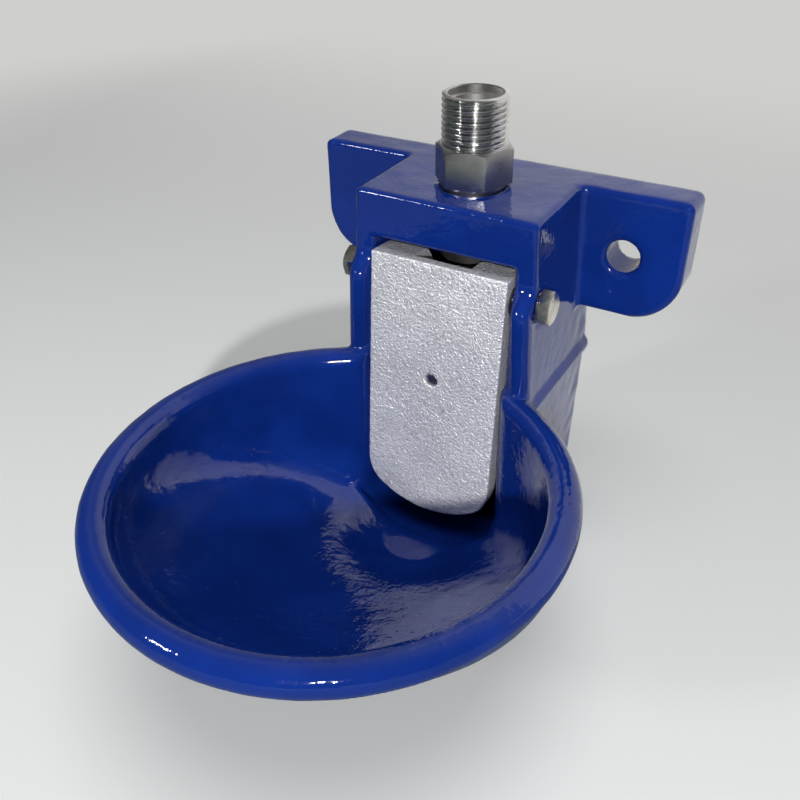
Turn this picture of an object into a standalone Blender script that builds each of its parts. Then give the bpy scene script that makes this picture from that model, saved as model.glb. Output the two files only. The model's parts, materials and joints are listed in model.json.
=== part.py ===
"""Cast iron drinking bowl with a push tongue and a plunger valve, in metres, +Z up."""
import math

import bmesh
import bpy
from mathutils import Matrix, Vector

# X runs to the right as the animal sees the bowl, Y towards the wall, Z up.
# The origin is on the surface that the bowl stands on, under the middle of its outline.

# Clearances between pieces
GAP = 0.0003
TONGUE_SIDE_GAP = 0.0010
TONGUE_TIP_GAP = 0.0080

# Casting: heights above the foot
RIM_HEIGHT = 0.0665
HOUSING_HEIGHT = 0.1285

# Casting: mounting flange
FLANGE_WIDTH = 0.1350
FLANGE_THICKNESS = 0.0140
FLANGE_DROP = 0.0425
EAR_CORNER_RADIUS = 0.0170
EAR_TOP_RADIUS = 0.0030
BOLT_HOLE_RADIUS = 0.00575
BOLT_HOLE_SPACING = 0.0950
BOLT_HOLE_DROP = 0.0215

# Casting: valve box and the chute below it
BOX_WIDTH = 0.0632
BOX_DEPTH = 0.0495
ROOF_THICKNESS = 0.0155
CHUTE_WIDTH = 0.0508
CHUTE_REACH = 0.0620
CHUTE_STEP = 0.0010
BACK_WALL = 0.0070
SIDE_FLARE = 0.0028
SIDE_TAPER = 0.0018
CHEEK_REACH = 0.0060
CHEEK_BEAD_RADIUS = 0.0034
CHEEK_BEAD_PROUD = 0.0003
CHEEK_FACE_SINK = 0.0008
SHOULDER_DROP = 0.0040
SHOULDER_HEIGHT = 0.0100
DISH_JOIN_DEPTH = 0.0600
RIDGE_RADIUS = 0.0024
RIDGE_SINK = 0.0006
RIDGE_DROP = 0.0020
CAST_EDGE = 0.0016
FLUSH_STEP = 0.0002

# Casting: the dish
BOWL_RADIUS = 0.0670
RIM_BEAD_RADIUS = 0.0050
BOWL_FROM_WALL = 0.1155
DISH_WALL = 0.0050
FOOT_TRIM = 0.0010
DISH_MIDDLE = 0.0402
DISH_CURVE = 10.3
DISH_TILT = 0.251
DISH_FILLET = 0.0100
DISH_BLEND = 0.0300
SUMP_FROM_WALL = 0.0680
SUMP_RADIUS = 0.0110
SUMP_EASE = 0.0080
SUMP_RISE = 0.0160
SUMP_RISE_REACH = 0.0200
SUMP_RISE_POWER = 0.80
SUMP_WALL_SHARE = 0.4
MOUTH_BLEND = 0.0060
CHUTE_CORNER = 0.0080

# Pivot of the tongue
PIVOT_BELOW_ROOF = 0.0125
PIVOT_TO_VALVE = 0.0175
PIVOT_BEHIND_LINTEL = 0.0040
PIVOT_BOLT_RADIUS = 0.0030
PIVOT_PIN_REACH = 0.0100
BOLT_HEAD_ACROSS = 0.0100
BOLT_HEAD_HEIGHT = 0.0042
BOLT_SEAT_RADIUS = 0.0066
BUSH_WALL = 0.0012
BUSH_LENGTH = 0.0100

# Tongue, in its own upright frame about the pivot
TONGUE_TILT = math.radians(5.0)
TONGUE_BOSS_RADIUS = 0.0095
TONGUE_FACE = 0.0076
TONGUE_TOP = 0.0085
TONGUE_PLATE = 0.0042
TONGUE_TIP_THICKNESS = 0.0045
TONGUE_TIP_SAG = 0.0100
TONGUE_TIP_CORNER = 0.0050
TONGUE_EDGE = 0.0006
RIB_WIDTH = 0.0050
POCKET_TOP = 0.0110
POCKET_TIP_MARGIN = 0.0150
NOTCH_WIDTH = 0.0200
HEEL_WIDTH = 0.0110
HEEL_THICKNESS = 0.0070
HEEL_ROOT = 0.0060
HEEL_OVERHANG = 0.0052
HEEL_SCREW_RADIUS = 0.0020
HEEL_HEAD_RADIUS = 0.0035
HEEL_HEAD_HEIGHT = 0.0023
HEEL_HEAD_ROUND = 0.0008
HEEL_NUT_ACROSS = 0.0070
HEEL_NUT_HEIGHT = 0.0032
HEEL_SCREW_END = 0.0008
PLUG_RADIUS = 0.0020
PLUG_LENGTH = 0.0022
PLUG_DROP = 0.0330
PLUG_RECESS = 0.0008

# Valve body
THREAD_RADIUS = 0.01048
THREAD_DEPTH = 0.00116
THREAD_PITCH = 0.001814
THREAD_TURNS = 8
NIPPLE_HEIGHT = 0.0287
NIPPLE_CHAMFER = 0.0006
HEX_ACROSS = 0.0220
HEX_HEIGHT = 0.0120
HEX_CHAMFER = 0.0012
HEX_TURN = math.radians(-17.5)
COLLAR_HEIGHT = 0.0010
NOZZLE_BELOW_ROOF = 0.0085
INLET_BORE_RADIUS = 0.0078
INLET_MOUTH_RADIUS = 0.0086
INLET_MOUTH_DEPTH = 0.0025
OUTLET_BORE_RADIUS = 0.0052

# Valve insides
SEAT_SHOULDER_DEPTH = 0.0085
SEAT_THICKNESS = 0.0045
SEAT_HOLE_RADIUS = 0.0036
SEAT_LIP_WIDTH = 0.0013
SEAT_LIP_HEIGHT = 0.0008
O_RING_RADIUS = 0.00050
O_RING_GROOVE = 0.0018
STEM_RADIUS = 0.0020
STEM_TIP_RADIUS = 0.0008
STEM_TIP_LENGTH = 0.0012
SEAL_RADIUS = 0.0062
SEAL_THICKNESS = 0.0022
HEAD_RADIUS = 0.0060
HEAD_THICKNESS = 0.0015
PILOT_RADIUS = 0.0036
PILOT_HEIGHT = 0.0015
SPRING_RADIUS = 0.0048
SPRING_WIRE_RADIUS = 0.00045
SPRING_TURNS = 4.5
SPRING_LENGTH = 0.0088
CAP_THICKNESS = 0.0015
CAP_SPIGOT_HEIGHT = 0.0012
CAP_HOLES = 6
CAP_HOLE_RADIUS = 0.0007
STRAINER_THICKNESS = 0.0008
STRAINER_HOLE_RADIUS = 0.0007
STRAINER_HOLE_SPACING = 0.0022
CIRCLIP_THICKNESS = 0.0008
CIRCLIP_WIDTH = 0.0014
CIRCLIP_GROOVE = 0.0006
CIRCLIP_OPENING = 60
GUIDE_LENGTH = 0.0030
GUIDE_HOLES = 4
GUIDE_HOLE_RADIUS = 0.0008

# Facet counts
ROUND_STEPS = 48
SMALL_STEPS = 24
SEAT_STEPS = 22
HOLE_STEPS = 8
DISH_STEPS = 64
DISH_RINGS = 13
BEAD_FACET = 25
BEAD_SIDES = 10
TUBE_RESOLUTION = 2
SPRING_RESOLUTION = 1
SPRING_POINTS_PER_TURN = 10

# Places that follow from the sizes
OVERALL_DEPTH = BOWL_FROM_WALL + BOWL_RADIUS + RIM_BEAD_RADIUS
WALL_Y = OVERALL_DEPTH / 2
BOWL_Y = WALL_Y - BOWL_FROM_WALL
CEILING = HOUSING_HEIGHT - ROOF_THICKNESS
CHEEK_DEPTH = BOX_DEPTH + CHEEK_REACH
DISH_RADIUS = BOWL_RADIUS - RIM_BEAD_RADIUS + GAP
PIVOT = Vector((0.0, WALL_Y - BOX_DEPTH + PIVOT_BEHIND_LINTEL, CEILING - PIVOT_BELOW_ROOF))
VALVE = Vector((0.0, PIVOT.y + PIVOT_TO_VALVE, HOUSING_HEIGHT))
TONGUE_HALF_WIDTH = CHUTE_WIDTH / 2 - TONGUE_SIDE_GAP
TONGUE_LENGTH = (PIVOT.z - DISH_WALL - TONGUE_TIP_GAP) / math.cos(TONGUE_TILT)
BUSH_RADIUS = PIVOT_BOLT_RADIUS + GAP + BUSH_WALL
HEEL_TOP = -GAP - HEEL_HEAD_HEIGHT
HEX_BOTTOM = GAP + COLLAR_HEIGHT
NOZZLE_END = -ROOF_THICKNESS - NOZZLE_BELOW_ROOF
STEM_TIP = PIVOT.z - HOUSING_HEIGHT
SEAT_BOTTOM = GAP - SEAT_SHOULDER_DEPTH
SEAT_TOP = SEAT_BOTTOM + SEAT_THICKNESS
SEAL_BOTTOM = SEAT_TOP + SEAT_LIP_HEIGHT + GAP
HEAD_BOTTOM = SEAL_BOTTOM + SEAL_THICKNESS + GAP
SPRING_BOTTOM = HEAD_BOTTOM + HEAD_THICKNESS + GAP
CAP_BOTTOM = SPRING_BOTTOM + SPRING_LENGTH + GAP
STRAINER_BOTTOM = CAP_BOTTOM + CAP_THICKNESS + GAP
CIRCLIP_BOTTOM = STRAINER_BOTTOM + STRAINER_THICKNESS + GAP
INSERT_RADIUS = INLET_BORE_RADIUS - GAP
GUIDE_BOTTOM = NOZZLE_END + GAP


def new_collection(name):
    collection = bpy.data.collections.new(name)
    bpy.context.scene.collection.children.link(collection)
    return collection


def new_material(name, colour, roughness, metallic):
    material = bpy.data.materials.new(name)
    material.use_nodes = True
    shader = material.node_tree.nodes["Principled BSDF"]
    shader.inputs["Base Color"].default_value = (*colour, 1.0)
    shader.inputs["Roughness"].default_value = roughness
    shader.inputs["Metallic"].default_value = metallic
    material.diffuse_color = (*colour, 1.0)
    return material


def new_object(name, mesh, location=(0.0, 0.0, 0.0)):
    piece = bpy.data.objects.new(name, mesh)
    piece.location = location
    PARTS.objects.link(piece)
    return piece


def mesh_from(name, build):
    """Make a mesh with a function that fills a bmesh."""
    mesh = bpy.data.meshes.new(name)
    work = bmesh.new()
    build(work)
    work.to_mesh(mesh)
    work.free()
    return mesh


def block(name, low, high, location=(0.0, 0.0, 0.0)):
    """A box between two corners."""
    def build(work):
        bmesh.ops.create_cube(work, size=1.0)
        for vert in work.verts:
            for axis in range(3):
                middle = (low[axis] + high[axis]) / 2
                vert.co[axis] = middle + vert.co[axis] * (high[axis] - low[axis])
    return new_object(name, mesh_from(name, build), location)


# Turns that point a cylinder, which starts along Z, along another axis
ALONG = {"X": Matrix.Rotation(math.pi / 2, 4, "Y"), "Y": Matrix.Rotation(math.pi / 2, 4, "X"), "Z": Matrix()}


def rod(name, radius, axis, start, end, centre=(0.0, 0.0, 0.0), steps=SMALL_STEPS, location=(0.0, 0.0, 0.0)):
    """A cylinder or prism along an axis, from one distance to another past its centre."""
    middle = Vector(centre)
    middle["XYZ".index(axis)] += (start + end) / 2

    def build(work):
        bmesh.ops.create_cone(work, cap_ends=True, segments=steps, radius1=radius, radius2=radius,
                              depth=abs(end - start), matrix=Matrix.Translation(middle) @ ALONG[axis])
    return new_object(name, mesh_from(name, build), location)


def arc(centre, radius, start, end, steps):
    """Points along an arc, whose ends are angles in degrees."""
    points = []
    for i in range(steps + 1):
        angle = math.radians(start + (end - start) * i / steps)
        points.append((centre[0] + radius * math.cos(angle), centre[1] + radius * math.sin(angle)))
    return points


def mirrored(right_half):
    """A whole outline from its right half, listed from top to bottom."""
    return right_half + [(-x, z) for x, z in reversed(right_half)]


def turned(name, profile, location=(0.0, 0.0, 0.0), steps=ROUND_STEPS, closed=False):
    """Turn a profile of (radius, height) points about the vertical axis."""
    edges = [(i, i + 1) for i in range(len(profile) - 1)]
    if closed:
        edges.append((len(profile) - 1, 0))
    mesh = bpy.data.meshes.new(name)
    mesh.from_pydata([(r, 0.0, z) for r, z in profile], edges, [])
    piece = new_object(name, mesh, location)
    screw = piece.modifiers.new("Turn", "SCREW")
    screw.axis = "Z"
    screw.steps = steps
    screw.render_steps = steps
    screw.use_merge_vertices = True
    screw.merge_threshold = 0.00001
    return piece


def solid_from_curve(name, curve, matrix, location):
    """Replace a curve by a welded mesh."""
    guide = bpy.data.objects.new(name + "_curve", curve)
    bpy.context.scene.collection.objects.link(guide)
    bpy.context.view_layer.update()
    view = bpy.context.evaluated_depsgraph_get()
    mesh = bpy.data.meshes.new_from_object(guide.evaluated_get(view))
    bpy.data.objects.remove(guide)
    bpy.data.curves.remove(curve)
    work = bmesh.new()
    work.from_mesh(mesh)
    bmesh.ops.remove_doubles(work, verts=work.verts, dist=0.000001)
    bmesh.ops.recalc_face_normals(work, faces=work.faces)
    work.to_mesh(mesh)
    work.free()
    mesh.transform(matrix)
    mesh.name = name
    return new_object(name, mesh, location)


# Turns that stand a flat outline up: its own plane becomes XZ or YZ
UPRIGHT = {
    "XZ": Matrix(((1, 0, 0, 0), (0, 0, -1, 0), (0, 1, 0, 0), (0, 0, 0, 1))),
    "YZ": Matrix(((0, 0, 1, 0), (1, 0, 0, 0), (0, 1, 0, 0), (0, 0, 0, 1))),
    "XY": Matrix(),
}


def plate(name, outlines, thickness, plane, centre=(0.0, 0.0, 0.0), location=(0.0, 0.0, 0.0)):
    """A flat outline with a thickness, whose further outlines are holes."""
    curve = bpy.data.curves.new(name, "CURVE")
    curve.dimensions = "2D"
    curve.fill_mode = "BOTH"
    curve.extrude = thickness / 2
    for outline in outlines:
        line = curve.splines.new("POLY")
        line.points.add(len(outline) - 1)
        for point, (a, b) in zip(line.points, outline):
            point.co = (a, b, 0.0, 1.0)
        line.use_cyclic_u = True
    return solid_from_curve(name, curve, Matrix.Translation(centre) @ UPRIGHT[plane], location)


def tube(name, route, radius, location=(0.0, 0.0, 0.0), resolution=TUBE_RESOLUTION):
    """A round bar along a route of points, with closed ends."""
    curve = bpy.data.curves.new(name, "CURVE")
    curve.dimensions = "3D"
    curve.bevel_depth = radius
    curve.bevel_resolution = resolution
    curve.use_fill_caps = True
    line = curve.splines.new("POLY")
    line.points.add(len(route) - 1)
    for point, place in zip(line.points, route):
        point.co = (*place, 1.0)
    return solid_from_curve(name, curve, Matrix(), location)


def combine(piece, operation, tool):
    """Join, cut or intersect a piece with another shape, which then becomes a guide."""
    tool.modifiers.new("Flat faces", "TRIANGULATE")
    step = piece.modifiers.new(operation.title() + " " + tool.name, "BOOLEAN")
    step.operation = operation
    step.solver = "EXACT"
    step.object = tool
    PARTS.objects.unlink(tool)
    CUTTERS.objects.link(tool)
    tool.hide_render = True
    tool.display_type = "WIRE"


def round_edges(piece, width, segments=2):
    """Round every edge that is sharper than 35 degrees."""
    step = piece.modifiers.new("Rounded edges", "BEVEL")
    step.width = width
    step.segments = segments
    step.limit_method = "ANGLE"
    step.angle_limit = math.radians(35)
    piece.modifiers.new("Flat faces", "TRIANGULATE")


def finish(piece, material):
    """Give a finished piece its material and its shading."""
    piece.data.materials.clear()
    piece.data.materials.append(material)
    piece.data.shade_smooth()
    piece.data.set_sharp_from_angle(angle=math.radians(35))
    return piece


def soft_maximum(a, b, blend):
    """The larger of two values, with a smooth change over where they meet."""
    overlap = max(blend - abs(a - b), 0.0) / blend
    return max(a, b) + overlap * overlap * blend / 4


def smooth_step(value):
    value = min(max(value, 0.0), 1.0)
    return value * value * (3 - 2 * value)


def dish_height(x, from_wall, wall):
    """Height of the dish over a point: its inside with no wall, its underside with one."""
    past_middle = from_wall - BOWL_FROM_WALL
    bowl = DISH_MIDDLE + DISH_CURVE * (x ** 2 + past_middle ** 2) + DISH_TILT * past_middle
    past_sump = math.hypot(x, from_wall - SUMP_FROM_WALL) - SUMP_RADIUS - SUMP_WALL_SHARE * wall
    uphill = max(past_sump, 0.0)
    uphill = uphill ** 2 / (uphill + SUMP_EASE)
    cone = DISH_WALL + SUMP_RISE * (uphill / SUMP_RISE_REACH) ** SUMP_RISE_POWER
    floor = -soft_maximum(-bowl, -cone, DISH_BLEND) - wall
    inside_rim = DISH_RADIUS + wall - math.hypot(x, from_wall - BOWL_FROM_WALL)
    inside_mouth = min(CHUTE_WIDTH / 2 + wall - abs(x), BOWL_FROM_WALL - from_wall)
    margin = max(soft_maximum(inside_rim, inside_mouth, MOUTH_BLEND), 0.0)
    fillet = DISH_FILLET + wall
    if margin < fillet:
        floor += fillet - math.sqrt(fillet ** 2 - (fillet - margin) ** 2)
    return -soft_maximum(-floor, wall - RIM_HEIGHT, RIM_BEAD_RADIUS)


def rim_arc(start, end):
    """Points on the rim's round section, from one angle to another in degrees."""
    return arc((BOWL_RADIUS, RIM_HEIGHT), RIM_BEAD_RADIUS, start, end, round(abs(end - start) / BEAD_FACET))


def dish_solid(name, wall, edge):
    """The solid above the dish's surface, on rings about the bowl's axis, that ends in an edge profile."""
    def build(work):
        rings = []
        for i in range(1, DISH_RINGS + 1):
            reach = (DISH_RADIUS + wall) * math.sin(math.pi / 2 * i / DISH_RINGS)
            rings.append([(reach, None)] * DISH_STEPS)
        rings += [[point] * DISH_STEPS for point in edge]
        for ring in rings:
            for j, (reach, height) in enumerate(ring):
                angle = 2 * math.pi * j / DISH_STEPS
                x = reach * math.cos(angle)
                y = BOWL_Y + reach * math.sin(angle)
                if height is None:
                    height = dish_height(x, WALL_Y - y, wall)
                ring[j] = work.verts.new((x, y, height))
        centre = work.verts.new((0.0, BOWL_Y, dish_height(0.0, BOWL_FROM_WALL, wall)))
        for j in range(DISH_STEPS):
            following = (j + 1) % DISH_STEPS
            work.faces.new((centre, rings[0][following], rings[0][j]))
            for inner, outer in zip(rings, rings[1:]):
                work.faces.new((inner[j], inner[following], outer[following], outer[j]))
        work.faces.new(rings[-1])
        bmesh.ops.recalc_face_normals(work, faces=work.faces)
    return new_object(name, mesh_from(name, build))


def half_width_at(height):
    """Half the housing's width at a height above the foot."""
    box_half = BOX_WIDTH / 2
    if height > RIM_HEIGHT:
        return box_half + SIDE_FLARE * (HOUSING_HEIGHT - height) / (HOUSING_HEIGHT - RIM_HEIGHT)
    return box_half + SIDE_FLARE - SIDE_TAPER * (RIM_HEIGHT - height) / RIM_HEIGHT


def housing():
    """The valve box and the walls of the chute, as a solid block that is trimmed level later."""
    low = -2 * CAST_EDGE
    outline = mirrored([(half_width_at(height), height) for height in (HOUSING_HEIGHT, RIM_HEIGHT, low)])
    middle = WALL_Y - FLUSH_STEP - DISH_JOIN_DEPTH / 2
    piece = plate("bowl_casting", [outline], DISH_JOIN_DEPTH, "XZ", (0.0, middle, 0.0))
    front = WALL_Y - CHEEK_DEPTH + CHEEK_BEAD_RADIUS + CHEEK_FACE_SINK
    lintel = WALL_Y - BOX_DEPTH
    join = WALL_Y - DISH_JOIN_DEPTH - CAST_EDGE
    shoulder = CEILING - SHOULDER_DROP
    side_view = [(WALL_Y + CAST_EDGE, 2 * low), (WALL_Y + CAST_EDGE, HOUSING_HEIGHT + CAST_EDGE)]
    side_view += [(lintel, HOUSING_HEIGHT + CAST_EDGE), (lintel, shoulder)]
    step = RIM_HEIGHT - RIM_BEAD_RADIUS / 2
    side_view += [(front, shoulder - SHOULDER_HEIGHT), (front, step), (join, step), (join, 2 * low)]
    combine(piece, "INTERSECT", plate("housing_side_view", [side_view], BOX_WIDTH * 2, "YZ"))
    round_edges(piece, CAST_EDGE)
    return piece


def flange():
    """The mounting bar, whose two ears take the wall bolts."""
    half = FLANGE_WIDTH / 2
    low = HOUSING_HEIGHT - FLANGE_DROP
    top = HOUSING_HEIGHT - FLUSH_STEP
    right = arc((half - EAR_TOP_RADIUS, top - EAR_TOP_RADIUS), EAR_TOP_RADIUS, 90, 0, 3)
    right += arc((half - EAR_CORNER_RADIUS, low + EAR_CORNER_RADIUS), EAR_CORNER_RADIUS, 0, -90, 9)
    middle = (0.0, WALL_Y - FLANGE_THICKNESS / 2, 0.0)
    bar = plate("flange", [mirrored(right)], FLANGE_THICKNESS, "XZ", middle)
    round_edges(bar, CAST_EDGE)
    return bar


def cheek_bead(name, side):
    """The rounded front edge of a cheek, from its shoulder down into the rim."""
    shoulder = CEILING - SHOULDER_DROP
    heights = [shoulder + CHEEK_BEAD_RADIUS]
    heights += [shoulder - SHOULDER_HEIGHT * i / 5 for i in range(6)]
    heights += [RIM_HEIGHT + SHOULDER_HEIGHT, RIM_HEIGHT - RIM_BEAD_RADIUS]
    route = []
    for height in heights:
        reach = CHEEK_REACH * smooth_step((shoulder - height) / SHOULDER_HEIGHT)
        x = half_width_at(height) - CHEEK_BEAD_RADIUS + CHEEK_BEAD_PROUD
        route.append((side * x, WALL_Y - BOX_DEPTH + CHEEK_BEAD_RADIUS + CHEEK_BEAD_PROUD - reach, height))
    return tube(name, route, CHEEK_BEAD_RADIUS)


def ridge(name, side):
    """The raised parting line on the side of the housing, just below the rim's height."""
    x = side * (half_width_at(RIM_HEIGHT) - RIDGE_SINK)
    location = (x, WALL_Y, RIM_HEIGHT - RIDGE_DROP)
    front = RIDGE_RADIUS / 2 - CHEEK_DEPTH
    return rod(name, RIDGE_RADIUS, "Y", -2 * CAST_EDGE, front, location, BEAD_SIDES)


def chute():
    """The space that the tongue hangs in, from the back wall to the bowl."""
    half = CHUTE_WIDTH / 2
    right = [(half, CEILING)]
    floor = DISH_WALL + CHUTE_STEP
    right += arc((half - CHUTE_CORNER, floor + CHUTE_CORNER), CHUTE_CORNER, 0, -90, 5)
    depth = CHUTE_REACH - BACK_WALL
    return plate("chute", [mirrored(right)], depth, "XZ", (0.0, WALL_Y - BACK_WALL - depth / 2, 0.0))


def bowl_casting(material):
    """The one iron casting: dish, chute, valve box and mounting flange."""
    casting = housing()
    combine(casting, "UNION", flange())
    combine(casting, "UNION", dish_solid("dish_outside", DISH_WALL + FOOT_TRIM, rim_arc(-75, 75)))
    sides = {"left": -1, "right": 1}
    for word, side in sides.items():
        combine(casting, "UNION", cheek_bead("cheek_bead_" + word, side))
        combine(casting, "UNION", ridge("ridge_" + word, side))
    over_rim = (BOWL_RADIUS - RIM_BEAD_RADIUS / 5, RIM_HEIGHT + RIM_BEAD_RADIUS * 2)
    combine(casting, "DIFFERENCE", dish_solid("dish_inside", 0.0, rim_arc(165, 105) + [over_rim]))
    combine(casting, "DIFFERENCE", chute())
    below_foot = block("below_foot", (-BOWL_RADIUS, -WALL_Y, -4 * CAST_EDGE), (BOWL_RADIUS, 2 * WALL_Y, 0.0))
    combine(casting, "DIFFERENCE", below_foot)
    for word, side in sides.items():
        centre = (side * BOLT_HOLE_SPACING / 2, WALL_Y, HOUSING_HEIGHT - BOLT_HOLE_DROP)
        combine(casting, "DIFFERENCE", rod("bolt_hole_" + word, BOLT_HOLE_RADIUS, "Y", CAST_EDGE,
                                           -FLANGE_THICKNESS - CAST_EDGE, centre, ROUND_STEPS))
        head = side * half_width_at(PIVOT.z)
        outer = head + side * BOLT_HEAD_HEIGHT
        seat = rod("bolt_seat_" + word, BOLT_SEAT_RADIUS, "X", head, outer, PIVOT, SEAT_STEPS)
        combine(casting, "DIFFERENCE", seat)
        inner = side * CHUTE_WIDTH / 3
        hole = rod("pivot_hole_" + word, PIVOT_BOLT_RADIUS + GAP, "X", inner, outer, PIVOT)
        combine(casting, "DIFFERENCE", hole)
    combine(casting, "DIFFERENCE", rod("valve_hole", THREAD_RADIUS + GAP, "Z", CAST_EDGE,
                                       -ROOF_THICKNESS - CAST_EDGE, VALVE, ROUND_STEPS))
    return finish(casting, material)


def tongue_front_view():
    """The tongue's outline from the front: straight sides and a rounded lower end."""
    half = TONGUE_HALF_WIDTH
    radius = (half ** 2 + TONGUE_TIP_SAG ** 2) / (2 * TONGUE_TIP_SAG)
    centre = radius - TONGUE_LENGTH
    corner_x = half - TONGUE_TIP_CORNER
    corner_z = centre - math.sqrt((radius - TONGUE_TIP_CORNER) ** 2 - corner_x ** 2)
    turn = math.degrees(math.atan2(corner_z - centre, corner_x))
    right = [(half, TONGUE_TOP)]
    right += arc((corner_x, corner_z), TONGUE_TIP_CORNER, 0, turn, 4)
    right += arc((0.0, centre), radius, turn, -90, 7)[1:-1]
    return mirrored(right)


def tongue_side_view():
    """The tongue from the side: a flat face, a boss round the pivot and a tapering back."""
    top_angle = 180 - math.degrees(math.asin(TONGUE_TOP / TONGUE_BOSS_RADIUS))
    outline = [(-TONGUE_FACE, -TONGUE_LENGTH), (-TONGUE_FACE, TONGUE_TOP)]
    outline += arc((0.0, 0.0), TONGUE_BOSS_RADIUS, top_angle, -79, 14)
    outline.append((TONGUE_TIP_THICKNESS - TONGUE_FACE, -TONGUE_LENGTH))
    return outline


def tongue(material):
    """The plate that the animal pushes, with its pivot bosses and the heel that lifts the valve."""
    far = TONGUE_LENGTH * 2
    piece = plate("tongue", [tongue_front_view()], far, "XZ", location=PIVOT)
    side_view = plate("tongue_side_view", [tongue_side_view()], far, "YZ", location=PIVOT)
    combine(piece, "INTERSECT", side_view)
    round_edges(piece, TONGUE_EDGE, 1)
    back = TONGUE_PLATE - TONGUE_FACE
    rib = TONGUE_HALF_WIDTH - RIB_WIDTH
    bottom = POCKET_TIP_MARGIN - TONGUE_LENGTH
    pocket = block("tongue_pocket", (-rib, back, bottom), (rib, far, -POCKET_TOP), PIVOT)
    notch = NOTCH_WIDTH / 2
    opening = block("tongue_notch", (-notch, back, -POCKET_TOP - GAP), (notch, far, far), PIVOT)
    plug_hole = rod("plug_hole", PLUG_RADIUS + GAP, "Y", -far, PLUG_RECESS + PLUG_LENGTH + GAP - TONGUE_FACE,
                    (0.0, 0.0, -PLUG_DROP), HOLE_STEPS * 2, PIVOT)
    for tool in (side_view, pocket, opening, plug_hole, piece):
        tool.rotation_euler.x = -TONGUE_TILT
    for tool in (pocket, opening, plug_hole):
        combine(piece, "DIFFERENCE", tool)
    pin = max(PIVOT_PIN_REACH, BUSH_LENGTH) + GAP
    for word, side in {"left": -1, "right": 1}.items():
        bore = rod("bush_bore_" + word, BUSH_RADIUS + GAP, "X", side * (TONGUE_HALF_WIDTH - pin), side * far,
                   location=PIVOT)
        combine(piece, "DIFFERENCE", bore)
    combine(piece, "UNION", heel())
    shank_hole = rod("heel_screw_hole", HEEL_SCREW_RADIUS + GAP, "Z", -far, 0.0, (0.0, PIVOT_TO_VALVE, 0.0),
                     location=PIVOT)
    combine(piece, "DIFFERENCE", shank_hole)
    return finish(piece, material)


def heel():
    """The finger behind the tongue that reaches under the valve stem."""
    root = TONGUE_PLATE / 2 - TONGUE_FACE
    end = PIVOT_TO_VALVE + HEEL_OVERHANG
    low = HEEL_TOP - HEEL_THICKNESS
    side_view = [(root, HEEL_TOP), (end, HEEL_TOP), (end, low), (TONGUE_BOSS_RADIUS, low)]
    side_view += [(0.0, low - HEEL_ROOT / 3), (root, low - HEEL_ROOT)]
    return plate("heel", [side_view], HEEL_WIDTH, "YZ", location=PIVOT)


def tongue_bush(name, side, material):
    """A bush between the pivot bolt and the tongue."""
    profile = [(BUSH_RADIUS, BUSH_LENGTH / 2), (BUSH_RADIUS, -BUSH_LENGTH / 2)]
    profile += [(PIVOT_BOLT_RADIUS + GAP, -BUSH_LENGTH / 2), (PIVOT_BOLT_RADIUS + GAP, BUSH_LENGTH / 2)]
    middle = TONGUE_HALF_WIDTH - BUSH_LENGTH / 2
    bush = turned(name, profile, PIVOT + Vector((side * middle, 0.0, 0.0)), SMALL_STEPS, closed=True)
    bush.rotation_euler.y = math.pi / 2
    return finish(bush, material)


def tongue_plug(material):
    """The small pin whose end shows in the tongue's face."""
    front = PLUG_RECESS - TONGUE_FACE
    plug = rod("tongue_plug", PLUG_RADIUS, "Y", front, front + PLUG_LENGTH, (0.0, 0.0, -PLUG_DROP),
               HOLE_STEPS * 2, PIVOT)
    plug.rotation_euler.x = -TONGUE_TILT
    return finish(plug, material)


def heel_screw(material):
    """The round-headed screw that presses on the valve stem."""
    top = -GAP
    under_head = HEEL_TOP + GAP
    end = HEEL_TOP - HEEL_THICKNESS - GAP - HEEL_NUT_HEIGHT - HEEL_SCREW_END
    profile = [(0.0, top), (HEEL_HEAD_RADIUS - HEEL_HEAD_ROUND, top)]
    profile += [(HEEL_HEAD_RADIUS, top - HEEL_HEAD_ROUND)]
    profile += [(HEEL_HEAD_RADIUS, under_head), (HEEL_SCREW_RADIUS, under_head), (HEEL_SCREW_RADIUS, end)]
    profile.append((0.0, end))
    place = PIVOT + Vector((0.0, PIVOT_TO_VALVE, 0.0))
    return finish(turned("heel_screw", profile, place, SMALL_STEPS), material)


def hexagon(across, turn=0.0):
    """Corners of a hexagon of a given size across its flats."""
    return arc((0.0, 0.0), across / math.sqrt(3), math.degrees(turn), math.degrees(turn) + 300, 5)


def circle(radius, steps=SMALL_STEPS, centre=(0.0, 0.0)):
    return arc(centre, radius, 0, 360, steps)[:-1]


def heel_nut(material):
    """The nut under the heel that holds the screw."""
    top = HEEL_TOP - HEEL_THICKNESS - GAP
    place = PIVOT + Vector((0.0, PIVOT_TO_VALVE, top - HEEL_NUT_HEIGHT / 2))
    outlines = [hexagon(HEEL_NUT_ACROSS), circle(HEEL_SCREW_RADIUS + GAP)]
    return finish(plate("heel_nut", outlines, HEEL_NUT_HEIGHT, "XY", location=place), material)


def pivot_bolt(name, side, material):
    """A hexagon bolt through the cheek, whose end carries the tongue."""
    start = half_width_at(PIVOT.z) + GAP
    end = TONGUE_HALF_WIDTH - PIVOT_PIN_REACH
    in_head = start + BOLT_HEAD_HEIGHT / 2
    bolt = rod(name, PIVOT_BOLT_RADIUS, "X", side * end, side * in_head, location=PIVOT)
    head = rod(name + "_head", BOLT_HEAD_ACROSS / math.sqrt(3), "X", side * start,
               side * (start + BOLT_HEAD_HEIGHT), steps=6, location=PIVOT)
    combine(bolt, "UNION", head)
    return finish(bolt, material)


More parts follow.
